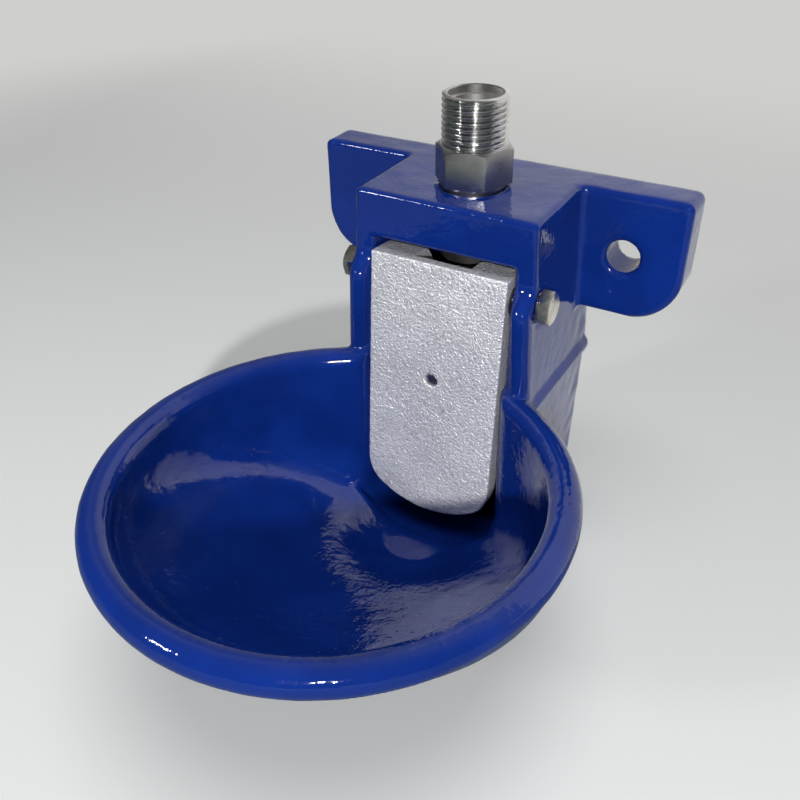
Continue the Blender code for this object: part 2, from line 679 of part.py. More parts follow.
def thread_profile(start, end):
    """A V thread from one height down to another, as points from crest to root."""
    points = []
    pitch = (start - end) / THREAD_TURNS
    for i in range(THREAD_TURNS):
        points.append((THREAD_RADIUS, start - pitch * i))
        points.append((THREAD_RADIUS - THREAD_DEPTH, start - pitch * (i + 0.5)))
    points.append((THREAD_RADIUS, end))
    return points


def valve_body(material):
    """The stainless body: pipe thread above, hexagon, and a nozzle through the roof."""
    thread_top = NIPPLE_HEIGHT - NIPPLE_CHAMFER
    thread_end = thread_top - THREAD_TURNS * THREAD_PITCH
    profile = [(0.0, NIPPLE_HEIGHT), (THREAD_RADIUS - NIPPLE_CHAMFER, NIPPLE_HEIGHT)]
    profile += thread_profile(thread_top, thread_end)
    profile += [(THREAD_RADIUS, GAP), (THREAD_RADIUS, NOZZLE_END), (0.0, NOZZLE_END)]
    body = turned("valve_body", profile, VALVE)
    middle = HEX_BOTTOM + HEX_HEIGHT / 2
    nut = plate("valve_hexagon", [hexagon(HEX_ACROSS, HEX_TURN)], HEX_HEIGHT, "XY", (0.0, 0.0, middle), VALVE)
    corner = HEX_ACROSS / math.sqrt(3) + HEX_CHAMFER / 4
    flat = HEX_ACROSS / 2
    top = HEX_BOTTOM + HEX_HEIGHT
    shape = [(0.0, top + GAP), (flat - HEX_CHAMFER / 2, top + GAP), (corner, top - HEX_CHAMFER)]
    shape += [(corner, HEX_BOTTOM + HEX_CHAMFER / 2), (flat, HEX_BOTTOM - GAP), (0.0, HEX_BOTTOM - GAP)]
    combine(nut, "INTERSECT", turned("hexagon_chamfer", shape, VALVE))
    combine(body, "UNION", nut)
    collar = rod("valve_collar", HEX_ACROSS / 2, "Z", GAP, HEX_BOTTOM + GAP, VALVE, ROUND_STEPS)
    combine(body, "UNION", collar)
    mouth = NIPPLE_HEIGHT - INLET_MOUTH_DEPTH
    groove_top = CIRCLIP_BOTTOM + CIRCLIP_THICKNESS + GAP
    groove_bottom = CIRCLIP_BOTTOM - GAP
    bore = [(0.0, NIPPLE_HEIGHT + GAP), (INLET_MOUTH_RADIUS, NIPPLE_HEIGHT + GAP)]
    bore += [(INLET_MOUTH_RADIUS, mouth)]
    bore += [(INLET_BORE_RADIUS, mouth), (INLET_BORE_RADIUS, groove_top)]
    groove = INLET_BORE_RADIUS + CIRCLIP_GROOVE
    bore += [(groove, groove_top), (groove, groove_bottom)]
    bore += [(INLET_BORE_RADIUS, groove_bottom), (INLET_BORE_RADIUS, -SEAT_SHOULDER_DEPTH)]
    bore += [(OUTLET_BORE_RADIUS, -SEAT_SHOULDER_DEPTH), (OUTLET_BORE_RADIUS, NOZZLE_END - GAP)]
    bore.append((0.0, NOZZLE_END - GAP))
    combine(body, "DIFFERENCE", turned("valve_bore", bore, VALVE, SMALL_STEPS))
    return finish(body, material)


def valve_seat(material):
    """The seat insert, with a raised lip that the seal closes on and a groove for its ring."""
    lip = SEAT_HOLE_RADIUS + SEAT_LIP_WIDTH
    middle = (SEAT_BOTTOM + SEAT_TOP) / 2
    groove = INSERT_RADIUS - 3 * O_RING_RADIUS
    half = O_RING_GROOVE / 2
    lip_top = SEAT_TOP + SEAT_LIP_HEIGHT
    profile = [(SEAT_HOLE_RADIUS, lip_top), (lip, lip_top), (lip, SEAT_TOP)]
    profile += [(INSERT_RADIUS, SEAT_TOP), (INSERT_RADIUS, middle + half), (groove, middle + half)]
    profile += [(groove, middle - half), (INSERT_RADIUS, middle - half), (INSERT_RADIUS, SEAT_BOTTOM)]
    profile.append((SEAT_HOLE_RADIUS, SEAT_BOTTOM))
    return finish(turned("valve_seat", profile, VALVE, SMALL_STEPS, closed=True), material)


def seat_o_ring(material):
    """The ring that seals the seat insert in the body."""
    centre = (INSERT_RADIUS - O_RING_RADIUS, (SEAT_BOTTOM + SEAT_TOP) / 2)
    section = circle(O_RING_RADIUS, HOLE_STEPS, centre)[::-1]
    return finish(turned("seat_o_ring", section, VALVE, SMALL_STEPS, closed=True), material)


def stem_guide(material):
    """The perforated disc that keeps the stem upright at the nozzle's end."""
    outlines = [circle(OUTLET_BORE_RADIUS - GAP), circle(STEM_RADIUS + GAP, HOLE_STEPS * 2)]
    ring = (OUTLET_BORE_RADIUS + STEM_RADIUS) / 2
    for i in range(GUIDE_HOLES):
        angle = 2 * math.pi * (i + 0.5) / GUIDE_HOLES
        centre = (ring * math.cos(angle), ring * math.sin(angle))
        outlines.append(circle(GUIDE_HOLE_RADIUS, HOLE_STEPS, centre))
    place = VALVE + Vector((0.0, 0.0, GUIDE_BOTTOM + GUIDE_LENGTH / 2))
    return finish(plate("stem_guide", outlines, GUIDE_LENGTH, "XY", location=place), material)


def valve_plunger(material):
    """The stem that the heel lifts, with the head that carries the seal."""
    top = HEAD_BOTTOM + HEAD_THICKNESS
    profile = [(0.0, top + PILOT_HEIGHT), (PILOT_RADIUS, top + PILOT_HEIGHT), (PILOT_RADIUS, top)]
    profile += [(HEAD_RADIUS, top), (HEAD_RADIUS, HEAD_BOTTOM), (STEM_RADIUS, HEAD_BOTTOM)]
    profile += [(STEM_RADIUS, STEM_TIP + STEM_TIP_LENGTH), (STEM_TIP_RADIUS, STEM_TIP), (0.0, STEM_TIP)]
    return finish(turned("valve_plunger", profile, VALVE, SMALL_STEPS), material)


def plunger_seal(material):
    """The rubber washer under the plunger's head."""
    place = VALVE + Vector((0.0, 0.0, SEAL_BOTTOM + SEAL_THICKNESS / 2))
    outlines = [circle(SEAL_RADIUS), circle(STEM_RADIUS + GAP, HOLE_STEPS * 2)]
    return finish(plate("plunger_seal", outlines, SEAL_THICKNESS, "XY", location=place), material)


def valve_spring(material):
    """The spring that closes the valve, one unbroken wire."""
    steps = round(SPRING_TURNS * SPRING_POINTS_PER_TURN)
    rise = SPRING_LENGTH - 2 * SPRING_WIRE_RADIUS
    route = []
    for i in range(steps + 1):
        angle = 2 * math.pi * i / SPRING_POINTS_PER_TURN
        height = SPRING_BOTTOM + SPRING_WIRE_RADIUS + rise * i / steps
        route.append(Vector((SPRING_RADIUS * math.cos(angle), SPRING_RADIUS * math.sin(angle), height)))
    apart = range(SPRING_POINTS_PER_TURN // 2, steps + 1)
    least = min((route[i + j] - route[i]).length for j in apart for i in range(steps + 1 - j))
    print("valve_spring: least gap to itself", round((least - 2 * SPRING_WIRE_RADIUS) * 1000, 2), "mm")
    spring = tube("valve_spring", route, SPRING_WIRE_RADIUS, VALVE, SPRING_RESOLUTION)
    return finish(spring, material)


def spring_cap(material):
    """The perforated disc that the spring pushes against."""
    ring = (SPRING_RADIUS + SPRING_WIRE_RADIUS + INSERT_RADIUS) / 2
    outlines = [circle(INSERT_RADIUS)]
    for i in range(CAP_HOLES):
        angle = 2 * math.pi * i / CAP_HOLES
        centre = (ring * math.cos(angle), ring * math.sin(angle))
        outlines.append(circle(CAP_HOLE_RADIUS, HOLE_STEPS, centre))
    middle = (0.0, 0.0, CAP_BOTTOM + CAP_THICKNESS / 2)
    cap = plate("spring_cap", outlines, CAP_THICKNESS, "XY", middle, VALVE)
    spigot = rod("cap_spigot", PILOT_RADIUS, "Z", CAP_BOTTOM - CAP_SPIGOT_HEIGHT, CAP_BOTTOM + GAP,
                 location=VALVE)
    combine(cap, "UNION", spigot)
    return finish(cap, material)


def inlet_strainer(material):
    """The perforated disc that keeps grit out of the valve."""
    outlines = [circle(INSERT_RADIUS)]
    reach = INSERT_RADIUS - 2 * STRAINER_HOLE_RADIUS
    count = math.ceil(reach / STRAINER_HOLE_SPACING)
    for row in range(-count, count + 1):
        for column in range(-2 * count, 2 * count + 1):
            across = (column + row / 2) * STRAINER_HOLE_SPACING
            centre = (across, row * STRAINER_HOLE_SPACING * math.sqrt(3) / 2)
            if math.hypot(*centre) < reach:
                outlines.append(circle(STRAINER_HOLE_RADIUS, HOLE_STEPS, centre))
    place = VALVE + Vector((0.0, 0.0, STRAINER_BOTTOM + STRAINER_THICKNESS / 2))
    return finish(plate("inlet_strainer", outlines, STRAINER_THICKNESS, "XY", location=place), material)


def strainer_circlip(material):
    """The open ring that snaps into its groove over the strainer."""
    outer = INLET_BORE_RADIUS + CIRCLIP_GROOVE - GAP
    start = 90 + CIRCLIP_OPENING / 2
    end = 450 - CIRCLIP_OPENING / 2
    outline = arc((0.0, 0.0), outer, start, end, SMALL_STEPS)
    outline += arc((0.0, 0.0), outer - CIRCLIP_WIDTH, end, start, SMALL_STEPS)
    place = VALVE + Vector((0.0, 0.0, CIRCLIP_BOTTOM + CIRCLIP_THICKNESS / 2))
    return finish(plate("strainer_circlip", [outline], CIRCLIP_THICKNESS, "XY", location=place), material)


for leftover in list(bpy.data.objects):
    bpy.data.objects.remove(leftover)

PARTS = new_collection("drinking_bowl")
CUTTERS = new_collection("cutters")

ENAMEL = new_material("blue_enamel", (0.006, 0.020, 0.170), 0.15, 0.0)
CAST_ALUMINIUM = new_material("cast_aluminium", (0.45, 0.45, 0.48), 0.45, 0.8)
STAINLESS = new_material("stainless_steel", (0.55, 0.54, 0.52), 0.25, 1.0)
ZINC = new_material("zinc_plate", (0.60, 0.57, 0.45), 0.35, 1.0)
BRASS = new_material("brass", (0.62, 0.45, 0.18), 0.30, 1.0)
RUBBER = new_material("black_rubber", (0.02, 0.02, 0.02), 0.60, 0.0)
PLASTIC = new_material("white_plastic", (0.75, 0.75, 0.72), 0.40, 0.0)

bowl_casting(ENAMEL)
tongue(CAST_ALUMINIUM)
tongue_plug(STAINLESS)
heel_screw(STAINLESS)
heel_nut(STAINLESS)
for which, direction in (("left", -1), ("right", 1)):
    tongue_bush("tongue_bush_" + which, direction, PLASTIC)
    pivot_bolt("pivot_bolt_" + which, direction, ZINC)
valve_body(STAINLESS)
valve_seat(BRASS)
seat_o_ring(RUBBER)
stem_guide(BRASS)
valve_plunger(STAINLESS)
plunger_seal(RUBBER)
valve_spring(STAINLESS)
spring_cap(PLASTIC)
inlet_strainer(STAINLESS)
strainer_circlip(STAINLESS)
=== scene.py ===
"""Looks of the cast iron drinking bowl: enamelled casting, rough cast tongue and stainless inlet."""
import json
import math

import bmesh
import bpy
import numpy as np
from mathutils import Matrix, Vector, noise


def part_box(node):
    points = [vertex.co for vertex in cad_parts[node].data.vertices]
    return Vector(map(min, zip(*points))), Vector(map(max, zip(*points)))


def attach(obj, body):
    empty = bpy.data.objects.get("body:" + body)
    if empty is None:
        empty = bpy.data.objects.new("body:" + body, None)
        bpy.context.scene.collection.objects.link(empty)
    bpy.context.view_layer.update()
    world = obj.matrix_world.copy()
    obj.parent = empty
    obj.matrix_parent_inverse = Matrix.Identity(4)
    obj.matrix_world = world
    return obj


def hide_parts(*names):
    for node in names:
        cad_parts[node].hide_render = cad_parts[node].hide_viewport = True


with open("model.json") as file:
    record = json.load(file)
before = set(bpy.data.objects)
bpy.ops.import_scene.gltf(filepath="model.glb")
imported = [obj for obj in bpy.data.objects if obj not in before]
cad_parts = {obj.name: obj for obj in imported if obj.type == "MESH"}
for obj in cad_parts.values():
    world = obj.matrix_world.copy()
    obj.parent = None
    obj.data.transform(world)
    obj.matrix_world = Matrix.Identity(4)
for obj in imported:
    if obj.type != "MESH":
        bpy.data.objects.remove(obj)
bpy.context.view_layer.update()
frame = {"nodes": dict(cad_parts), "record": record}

MM = 0.001

# Places that the frame gives: the casting's outline, the valve's axis and the tongue's pivot
CASTING_LOW, CASTING_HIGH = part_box("bowl_casting")
WALL_Y = CASTING_HIGH.y
TOP = CASTING_HIGH.z
BODY_LOW, BODY_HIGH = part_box("valve_body")
VALVE_Y = (BODY_LOW.y + BODY_HIGH.y) / 2
BOLT_LOW, BOLT_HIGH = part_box("pivot_bolt_right")
PIVOT = Vector((0.0, (BOLT_LOW.y + BOLT_HIGH.y) / 2, (BOLT_LOW.z + BOLT_HIGH.z) / 2))

# Camera, found by fitting the flange, box, nipple and rim to the photograph
CAMERA_PLACE = (0.11678, -0.17464, 0.23108)
CAMERA_TURN = math.radians(31.30)
CAMERA_DROP = math.radians(35.16)
CAMERA_ROLL = math.radians(-1.28)
CAMERA_LENS = 38.70
CAMERA_SENSOR = 36.0

# Casting: heights and depths from the wall
RIM_HEIGHT = 66.5 * MM
FLANGE_HALF = 67.5 * MM
FLANGE_THICKNESS = 14.0 * MM
FLANGE_DROP = 42.5 * MM
EAR_CORNER = 17.0 * MM
EAR_TOP = 3.6 * MM
BOLT_HOLE = 5.75 * MM
BOLT_HOLE_X = 47.5 * MM
BOLT_HOLE_DROP = 21.5 * MM
BOX_HALF = 31.6 * MM
BOX_DEPTH = 49.5 * MM
ROOF = 15.5 * MM
CHUTE_HALF = 25.4 * MM
CHUTE_REACH = 62.0 * MM
BACK_WALL = 7.0 * MM
SIDE_FLARE = 2.8 * MM
SIDE_TAPER = 1.8 * MM
CHEEK_REACH = 6.0 * MM
CHEEK_BEAD = 3.4 * MM
SHOULDER_DROP = 4.0 * MM
SHOULDER_HEIGHT = 10.0 * MM
JOIN_DEPTH = 61.6 * MM
RIDGE_RADIUS = 2.4 * MM
RIDGE_SINK = 0.6 * MM
RIDGE_DROP = 2.0 * MM
RIDGE_BACK = 2.0 * MM

# Casting: dish
BOWL_RADIUS = 67.0 * MM
RIM_BEAD = 5.0 * MM
BOWL_DEPTH = 115.5 * MM
DISH_RADIUS = 62.3 * MM
DISH_WALL = 5.0 * MM
DISH_SKIN = 6.0 * MM
DISH_MIDDLE = 40.2 * MM
DISH_CURVE = 10.3
DISH_TILT = 0.251
DISH_BLEND = 30.0 * MM
DISH_FILLET = 10.0 * MM
SUMP_DEPTH = 68.0 * MM
SUMP_RADIUS = 11.0 * MM
SUMP_EASE = 8.0 * MM
SUMP_RISE = 16.0 * MM
SUMP_RISE_REACH = 20.0 * MM
SUMP_RISE_POWER = 0.8
SUMP_WALL_SHARE = 0.4
MOUTH_BLEND = 6.0 * MM
CHUTE_CORNER = 8.0 * MM
CHUTE_FLOOR = 6.0 * MM
FLOOR_SLOPE = 1.2
FILLET_SPREAD = 1.25

# How softly the casting's surfaces run into each other
EDGE = 1.5 * MM
FILLET = 2.6 * MM
ROOT_FILLET = 5.0 * MM
HOLE_EDGE = 0.7 * MM
BOLT_SEAT = 6.6 * MM
PIVOT_HOLE = 3.3 * MM
VALVE_PLAY = 0.3 * MM
VALVE_HOLE_END = 20.5 * MM
CASTING_CELL = 1.18 * MM

# Tongue, in its own upright frame about the pivot
TONGUE_TILT = math.radians(5.0)
TONGUE_HALF = 24.4 * MM
TONGUE_LENGTH = 87.8 * MM
TONGUE_FACE = 7.6 * MM
TONGUE_TOP = 8.5 * MM
TONGUE_BOSS = 9.5 * MM
TONGUE_TIP = 4.5 * MM
TONGUE_PLATE = 4.2 * MM
TIP_SAG = 10.0 * MM
TIP_CORNER = 5.0 * MM
TONGUE_EDGE = 0.5 * MM
RIB_WIDTH = 5.0 * MM
POCKET_TOP = 11.0 * MM
POCKET_MARGIN = 15.0 * MM
NOTCH_HALF = 10.0 * MM
HEEL_HALF = 5.5 * MM
HEEL_TOP = -2.6 * MM
HEEL_THICKNESS = 7.0 * MM
HEEL_END = 22.7 * MM
HEEL_HOLE_Y = 17.5 * MM
HEEL_HOLE = 2.3 * MM
BUSH_BORE = 4.8 * MM
BUSH_REACH = 10.3 * MM
PLUG_HOLE = 2.3 * MM
PLUG_DEPTH = 3.3 * MM
PLUG_DROP = 33.0 * MM
PLUG_RECESS = 0.8 * MM
TONGUE_CELL = 0.42 * MM

# Inlet valve, heights above the box's roof
THREAD_RADIUS = 10.48 * MM
THREAD_DEPTH = 1.16 * MM
THREAD_PITCH = 1.814 * MM
NIPPLE_TOP = 28.7 * MM
MOUTH_RADIUS = 8.6 * MM
MOUTH_DEPTH = 2.5 * MM
BORE_RADIUS = 7.8 * MM
BORE_FLOOR = -8.5 * MM
OUTLET_RADIUS = 5.2 * MM
NOZZLE_END = -24.0 * MM
HEX_ACROSS = 22.0 * MM
HEX_LOW = 1.3 * MM
HEX_HEIGHT = 12.0 * MM
HEX_TURN = math.radians(-17.5)
HEX_CONE = 0.62
HEX_BORE = THREAD_RADIUS - 1.0 * MM
COLLAR_LOW = 0.3 * MM
COLLAR_EDGE = 0.15 * MM
THREAD_ROWS = 200
ROUND_STEPS = 128

# Pivot bolts
BOLT_GAP = 0.3 * MM
BOLT_SHANK = 3.0 * MM
BOLT_CONE = 0.55
BOLT_TURN = math.radians(20)


class Socket:
    """A node's output, on which Python's operators add Math nodes."""

    def __init__(self, nodes, output):
        self.nodes = nodes
        self.output = output

    def other(self, name):
        return Socket(self.nodes, self.output.node.outputs[name])

    def math(self, operation, *values):
        sockets = dict(enumerate((self,) + values))
        return self.nodes.make("ShaderNodeMath", {"operation": operation}, sockets)

    def __add__(self, value):
        return self.math("ADD", value)

    __radd__ = __add__

    def __sub__(self, value):
        return self.math("SUBTRACT", value)

    def __rsub__(self, value):
        return self * -1.0 + value

    def __mul__(self, value):
        return self.math("MULTIPLY", value)

    __rmul__ = __mul__

    def __truediv__(self, value):
        return self.math("DIVIDE", value)

    def __pow__(self, value):
        return self.math("POWER", value)

    def __abs__(self):
        return self.math("ABSOLUTE")

    def at_most(self, value):
        return self.math("MINIMUM", value)

    def at_least(self, value):
        return self.math("MAXIMUM", value)

    def between(self, low, high):
        """0 below one value, 1 above the other, and a smooth change from one to the other."""
        settings = {"interpolation_type": "SMOOTHSTEP"}
        sockets = {"Value": self, "From Min": low, "From Max": high}
        return self.nodes.make("ShaderNodeMapRange", settings, sockets)


class Nodes:
    """A node tree, filled by one method."""

    def __init__(self, tree):
        self.tree = tree

    def make(self, kind, settings=None, sockets=None, output=0):
        """Add a node, set it up, feed its sockets with values or links, and hand back one output."""
        node = self.tree.nodes.new(kind)
        for name, value in (settings or {}).items():
            setattr(node, name, value)
        for name, value in (sockets or {}).items():
            if isinstance(value, Socket):
                self.tree.links.new(value.output, node.inputs[name])
            else:
                node.inputs[name].default_value = value
        return Socket(self, node.outputs[output]) if node.outputs else None

    def mix(self, share, first, second):
        """Blend two colours, each a value or a socket."""
        sockets = {0: share}
        for index, colour in ((6, first), (7, second)):
            sockets[index] = colour if isinstance(colour, Socket) else (*colour, 1.0)
        return self.make("ShaderNodeMix", {"data_type": "RGBA"}, sockets, 2)


class Finish(Nodes):
    """A material under way, and the space that its patterns lie in."""

    def __init__(self, name):
        self.material = bpy.data.materials.new(name)
        self.material.use_nodes = True
        super().__init__(self.material.node_tree)
        self.tree.nodes.clear()
        self.place = self.make("ShaderNodeTexCoord", output="Object")

    def stretched(self, scale):
        """The pattern space, scaled along its three axes."""
        return self.make("ShaderNodeMapping", {}, {"Vector": self.place, "Scale": scale})

    def grain(self, size, detail=2.0, roughness=0.5, place=None):
        """Noise whose lumps are about so large, in metres."""
        sockets = {"Vector": place or self.place, "Scale": 1.0 / size}
        sockets.update({"Detail": detail, "Roughness": roughness})
        return self.make("ShaderNodeTexNoise", {}, sockets)

    def cells(self, size):
        """Distance to scattered points that lie about so far apart."""
        return self.make("ShaderNodeTexVoronoi", {}, {"Vector": self.place, "Scale": 1.0 / size})

    def bump(self, height, depth, normal=None):
        """Turn a height from 0 to 1 into a normal, for a relief so deep in metres."""
        sockets = {"Height": height, "Distance": depth, "Strength": 1.0}
        if normal:
            sockets["Normal"] = normal
        return self.make("ShaderNodeBump", {}, sockets)

    def close(self, **sockets):
        """Add the shader, whose sockets are named in words joined by underscores."""
        named = {}
        for name, value in sockets.items():
            words = name.replace("_", " ")
            named[words] = value
        shader = self.make("ShaderNodeBsdfPrincipled", {}, named)
        self.make("ShaderNodeOutputMaterial", {}, {"Surface": shader})
        return self.material


def blue_enamel():
    """Deep blue glossy enamel with orange peel, pimples, and dust under the coat."""
    paint = Finish("blue_enamel")
    cloud = paint.grain(22 * MM, 3.0)
    streak = paint.grain(6 * MM, 4.0, 0.6)
    colour = paint.mix(cloud.between(0.35, 0.7), (0.0024, 0.0150, 0.125), (0.0030, 0.0185, 0.155))
    colour = paint.mix(streak.between(0.62, 0.80) * 0.25, colour, (0.0020, 0.0110, 0.090))
    peel = paint.grain(4.2 * MM, 2.0)
    fine_peel = paint.grain(1.3 * MM, 1.0)
    pimple = paint.cells(5.5 * MM)
    pimple = 1.0 - pimple.between(0.02, 0.10)
    speck = paint.grain(16 * MM, 1.0).between(0.50, 0.62)
    dust = 1.0 - paint.cells(1.9 * MM).between(0.04, 0.20)
    dusty = paint.grain(13 * MM, 2.0).between(0.55, 0.70)
    ripple = paint.grain(2.1 * MM, 2.0, 0.6, paint.stretched((1.0, 0.55, 0.8)))
    normal = paint.bump(peel, 0.10 * MM)
    normal = paint.bump(ripple, 0.11 * MM, normal)
    normal = paint.bump(fine_peel, 0.020 * MM, normal)
    normal = paint.bump(pimple * speck, 0.16 * MM, normal)
    normal = paint.bump(dust * dusty, 0.09 * MM, normal)
    matt = 0.055 + paint.grain(11 * MM, 3.0).between(0.4, 0.8) * 0.06 + dusty * 0.03
    return paint.close(Base_Color=colour, Roughness=matt, Normal=normal)


def cast_aluminium():
    """Light grey skin of a sand casting: coarse grain that is darker in its hollows and painted near white on
    its tops as painted sparkle highlight, and fine pits.
    """
    skin = Finish("cast_aluminium")
    coarse = skin.grain(1.1 * MM, 3.0, 0.6)
    lumps = skin.cells(0.75 * MM)
    pits = skin.grain(0.4 * MM, 2.0, 0.6)
    tone = skin.grain(14 * MM, 3.0)
    colour = skin.mix(tone.between(0.3, 0.7), (0.60, 0.60, 0.63), (0.70, 0.70, 0.73))
    # The colour is darker where the coarse grain is low, in its hollows; on its tops it is painted near
    # white, as painted sparkle highlight.
    colour = skin.mix(1.0 - coarse.between(0.30, 0.46), colour, (0.40, 0.40, 0.44))
    colour = skin.mix(coarse.between(0.58, 0.72) * 0.6, colour, (0.92, 0.92, 0.93))
    normal = skin.bump(coarse, 0.34 * MM)
    normal = skin.bump(lumps, 0.20 * MM, normal)
    normal = skin.bump(pits, 0.14 * MM, normal)
    matt = 0.28 + pits * 0.20
    return skin.close(Base_Color=colour, Roughness=matt, Metallic=0.55, Normal=normal)


def stainless_steel():
    """Turned steel with tool marks round the valve's axis: bright on the thread; below it rougher and painted
    darker, as painted reflection of a dark room; rougher inside.
    """
    steel = Finish("stainless_steel")
    rings = steel.grain(1.0, 3.0, 0.7, steel.stretched((60.0, 60.0, 3500.0)))
    cloud = steel.grain(5 * MM, 3.0)
    colour = steel.mix(cloud.between(0.3, 0.7), (0.52, 0.51, 0.50), (0.66, 0.65, 0.64))
    scratch = steel.grain(0.5 * MM, 3.0, 0.7)
    normal = steel.bump(rings, 0.024 * MM)
    normal = steel.bump(scratch, 0.014 * MM, normal)
    height = steel.make("ShaderNodeSeparateXYZ", {}, {0: steel.place}, "Z")
    hexagon_top = TOP + HEX_LOW + HEX_HEIGHT
    threaded = height.between(hexagon_top - 0.5 * MM, hexagon_top + 0.5 * MM)
    # Everything below the thread is painted darker, as painted reflection of a dark room in the hexagon's
    # faces.
    colour = steel.mix((1.0 - threaded) * 0.55, colour, (0.20, 0.195, 0.185))
    across = height.other("X")
    back = height.other("Y") - VALVE_Y
    beyond = across * across + back * back
    inside = 1.0 - beyond.between(MOUTH_RADIUS ** 2 * 0.96, MOUTH_RADIUS ** 2 * 1.06)
    matt = 0.06 + rings * 0.09 + cloud * 0.05 + (1.0 - threaded) * 0.16 + threaded * inside * 0.26
    return steel.close(Base_Color=colour, Roughness=matt, Metallic=1.0, Normal=normal)


def zinc_plate():
    """Slightly yellow zinc plate with a mottled passivated skin."""
    zinc = Finish("zinc_plate")
    mottle = zinc.grain(1.6 * MM, 4.0, 0.6)
    tint = zinc.grain(3.5 * MM, 2.0)
    colour = zinc.mix(tint.between(0.35, 0.65), (0.60, 0.59, 0.55), (0.50, 0.47, 0.38))
    colour = zinc.mix(mottle.between(0.55, 0.75) * 0.5, colour, (0.30, 0.28, 0.24))
    normal = zinc.bump(mottle, 0.03 * MM)
    matt = 0.14 + mottle * 0.22
    return zinc.close(Base_Color=colour, Roughness=matt, Metallic=1.0, Normal=normal)


def turned_brass():
    """Turned brass, a little tarnished."""
    brass = Finish("turned_brass")
    marks = brass.grain(1.0, 3.0, 0.7, brass.stretched((80.0, 80.0, 5000.0)))
    tarnish = brass.grain(2.5 * MM, 3.0)
    colour = brass.mix(tarnish.between(0.45, 0.75), (0.66, 0.47, 0.19), (0.36, 0.22, 0.08))
    normal = brass.bump(marks, 0.006 * MM)
    return brass.close(Base_Color=colour, Roughness=0.22 + marks * 0.15, Metallic=1.0, Normal=normal)


def black_rubber():
    """Moulded rubber with a dull bloom."""
    rubber = Finish("black_rubber")
    bloom = rubber.grain(1.8 * MM, 3.0)
    colour = rubber.mix(bloom.between(0.4, 0.8), (0.012, 0.012, 0.013), (0.045, 0.045, 0.047))
    normal = rubber.bump(rubber.grain(0.4 * MM, 2.0), 0.02 * MM)
    return rubber.close(Base_Color=colour, Roughness=0.5 + bloom * 0.2, Normal=normal)


def black_acetal():
    """Black plastic with fine turning marks."""
    plastic = Finish("black_acetal")
    cloud = plastic.grain(3.0 * MM, 2.0)
    colour = plastic.mix(cloud.between(0.3, 0.7), (0.022, 0.022, 0.023), (0.040, 0.040, 0.041))
    normal = plastic.bump(plastic.grain(0.5 * MM, 2.0), 0.01 * MM)
    return plastic.close(Base_Color=colour, Roughness=0.32 + cloud * 0.12, Normal=normal)


def smooth_least(a, b, blend):
    """The smaller of two distances, rounded where they meet: it joins two shapes with a fillet."""
    overlap = np.maximum(blend - np.abs(a - b), 0.0) / blend
    return np.minimum(a, b) - overlap * overlap * blend / 4


def smooth_most(a, b, blend):
    """The larger of two distances, rounded where they meet: it is what two shapes share."""
    return -smooth_least(-a, -b, blend)


def cut(shape, tool, blend):
    """A shape without another, with a rounded edge."""
    return smooth_most(shape, -tool, blend)


def eased(value):
    value = np.clip(value, 0.0, 1.0)
    return value * value * (3 - 2 * value)


def rounded_slab(values, halves, radius):
    """Distance to a rectangle with round corners, from the distances along its two axes."""
    u = np.abs(values[0]) - halves[0] + radius
    v = np.abs(values[1]) - halves[1] + radius
    outside = np.hypot(np.maximum(u, 0.0), np.maximum(v, 0.0))
    return outside + np.minimum(np.maximum(u, v), 0.0) - radius


def bar_along(points, start, end, radius):
    """Distance to a round bar between two points."""
    start = np.array(start)
    line = np.array(end) - start
    offset = [points[i] - start[i] for i in range(3)]
    share = np.clip(sum(offset[i] * line[i] for i in range(3)) / (line @ line), 0.0, 1.0)
    return np.sqrt(sum((offset[i] - share * line[i]) ** 2 for i in range(3))) - radius


def housing_half_width(z):
    upper = BOX_HALF + SIDE_FLARE * (TOP - z) / (TOP - RIM_HEIGHT)
    lower = BOX_HALF + SIDE_FLARE - SIDE_TAPER * (RIM_HEIGHT - z) / RIM_HEIGHT
    return np.where(z > RIM_HEIGHT, upper, lower)


def housing_field(side, depth, z):
    """The valve box and the chute's outer walls."""
    shoulder = TOP - ROOF - SHOULDER_DROP
    step = eased((shoulder - z) / SHOULDER_HEIGHT)
    front = BOX_DEPTH + (CHEEK_REACH - CHEEK_BEAD) * step
    low = eased((RIM_HEIGHT - z) / RIM_BEAD)
    front = front + (JOIN_DEPTH - BOX_DEPTH - CHEEK_REACH + CHEEK_BEAD) * low
    return smooth_most(side - housing_half_width(z), depth - front, EDGE)


def flange_field(side, depth, z):
    """The mounting bar with its two ears, still open at the top."""
    low = TOP - FLANGE_DROP
    outline = rounded_slab((side, z - low - FLANGE_DROP), (FLANGE_HALF, FLANGE_DROP), EAR_CORNER)
    return smooth_most(outline, depth - FLANGE_THICKNESS, EDGE)


def trimmed(shape, side, depth, z):
    """The back and the top cut level, with the ears' upper corners rounded."""
    shape = smooth_most(shape, z - TOP, EDGE)
    shape = np.maximum(shape, smooth_most(side - FLANGE_HALF, z - TOP, EAR_TOP))
    return smooth_most(shape, -depth, EDGE)


def dish_floor(side, depth, z, wall):
    """Distance above the dish's floor, or above its underside when given the wall."""
    past_middle = depth - BOWL_DEPTH
    bowl = DISH_MIDDLE + DISH_CURVE * (side ** 2 + past_middle ** 2) + DISH_TILT * past_middle
    uphill = np.hypot(side, depth - SUMP_DEPTH) - SUMP_RADIUS - SUMP_WALL_SHARE * wall
    uphill = np.maximum(uphill, 0.0) ** 2 / (np.abs(uphill) + SUMP_EASE)
    cone = DISH_WALL + SUMP_RISE * (uphill / SUMP_RISE_REACH) ** SUMP_RISE_POWER
    return (smooth_least(bowl, cone, DISH_BLEND) - wall - z) / FLOOR_SLOPE


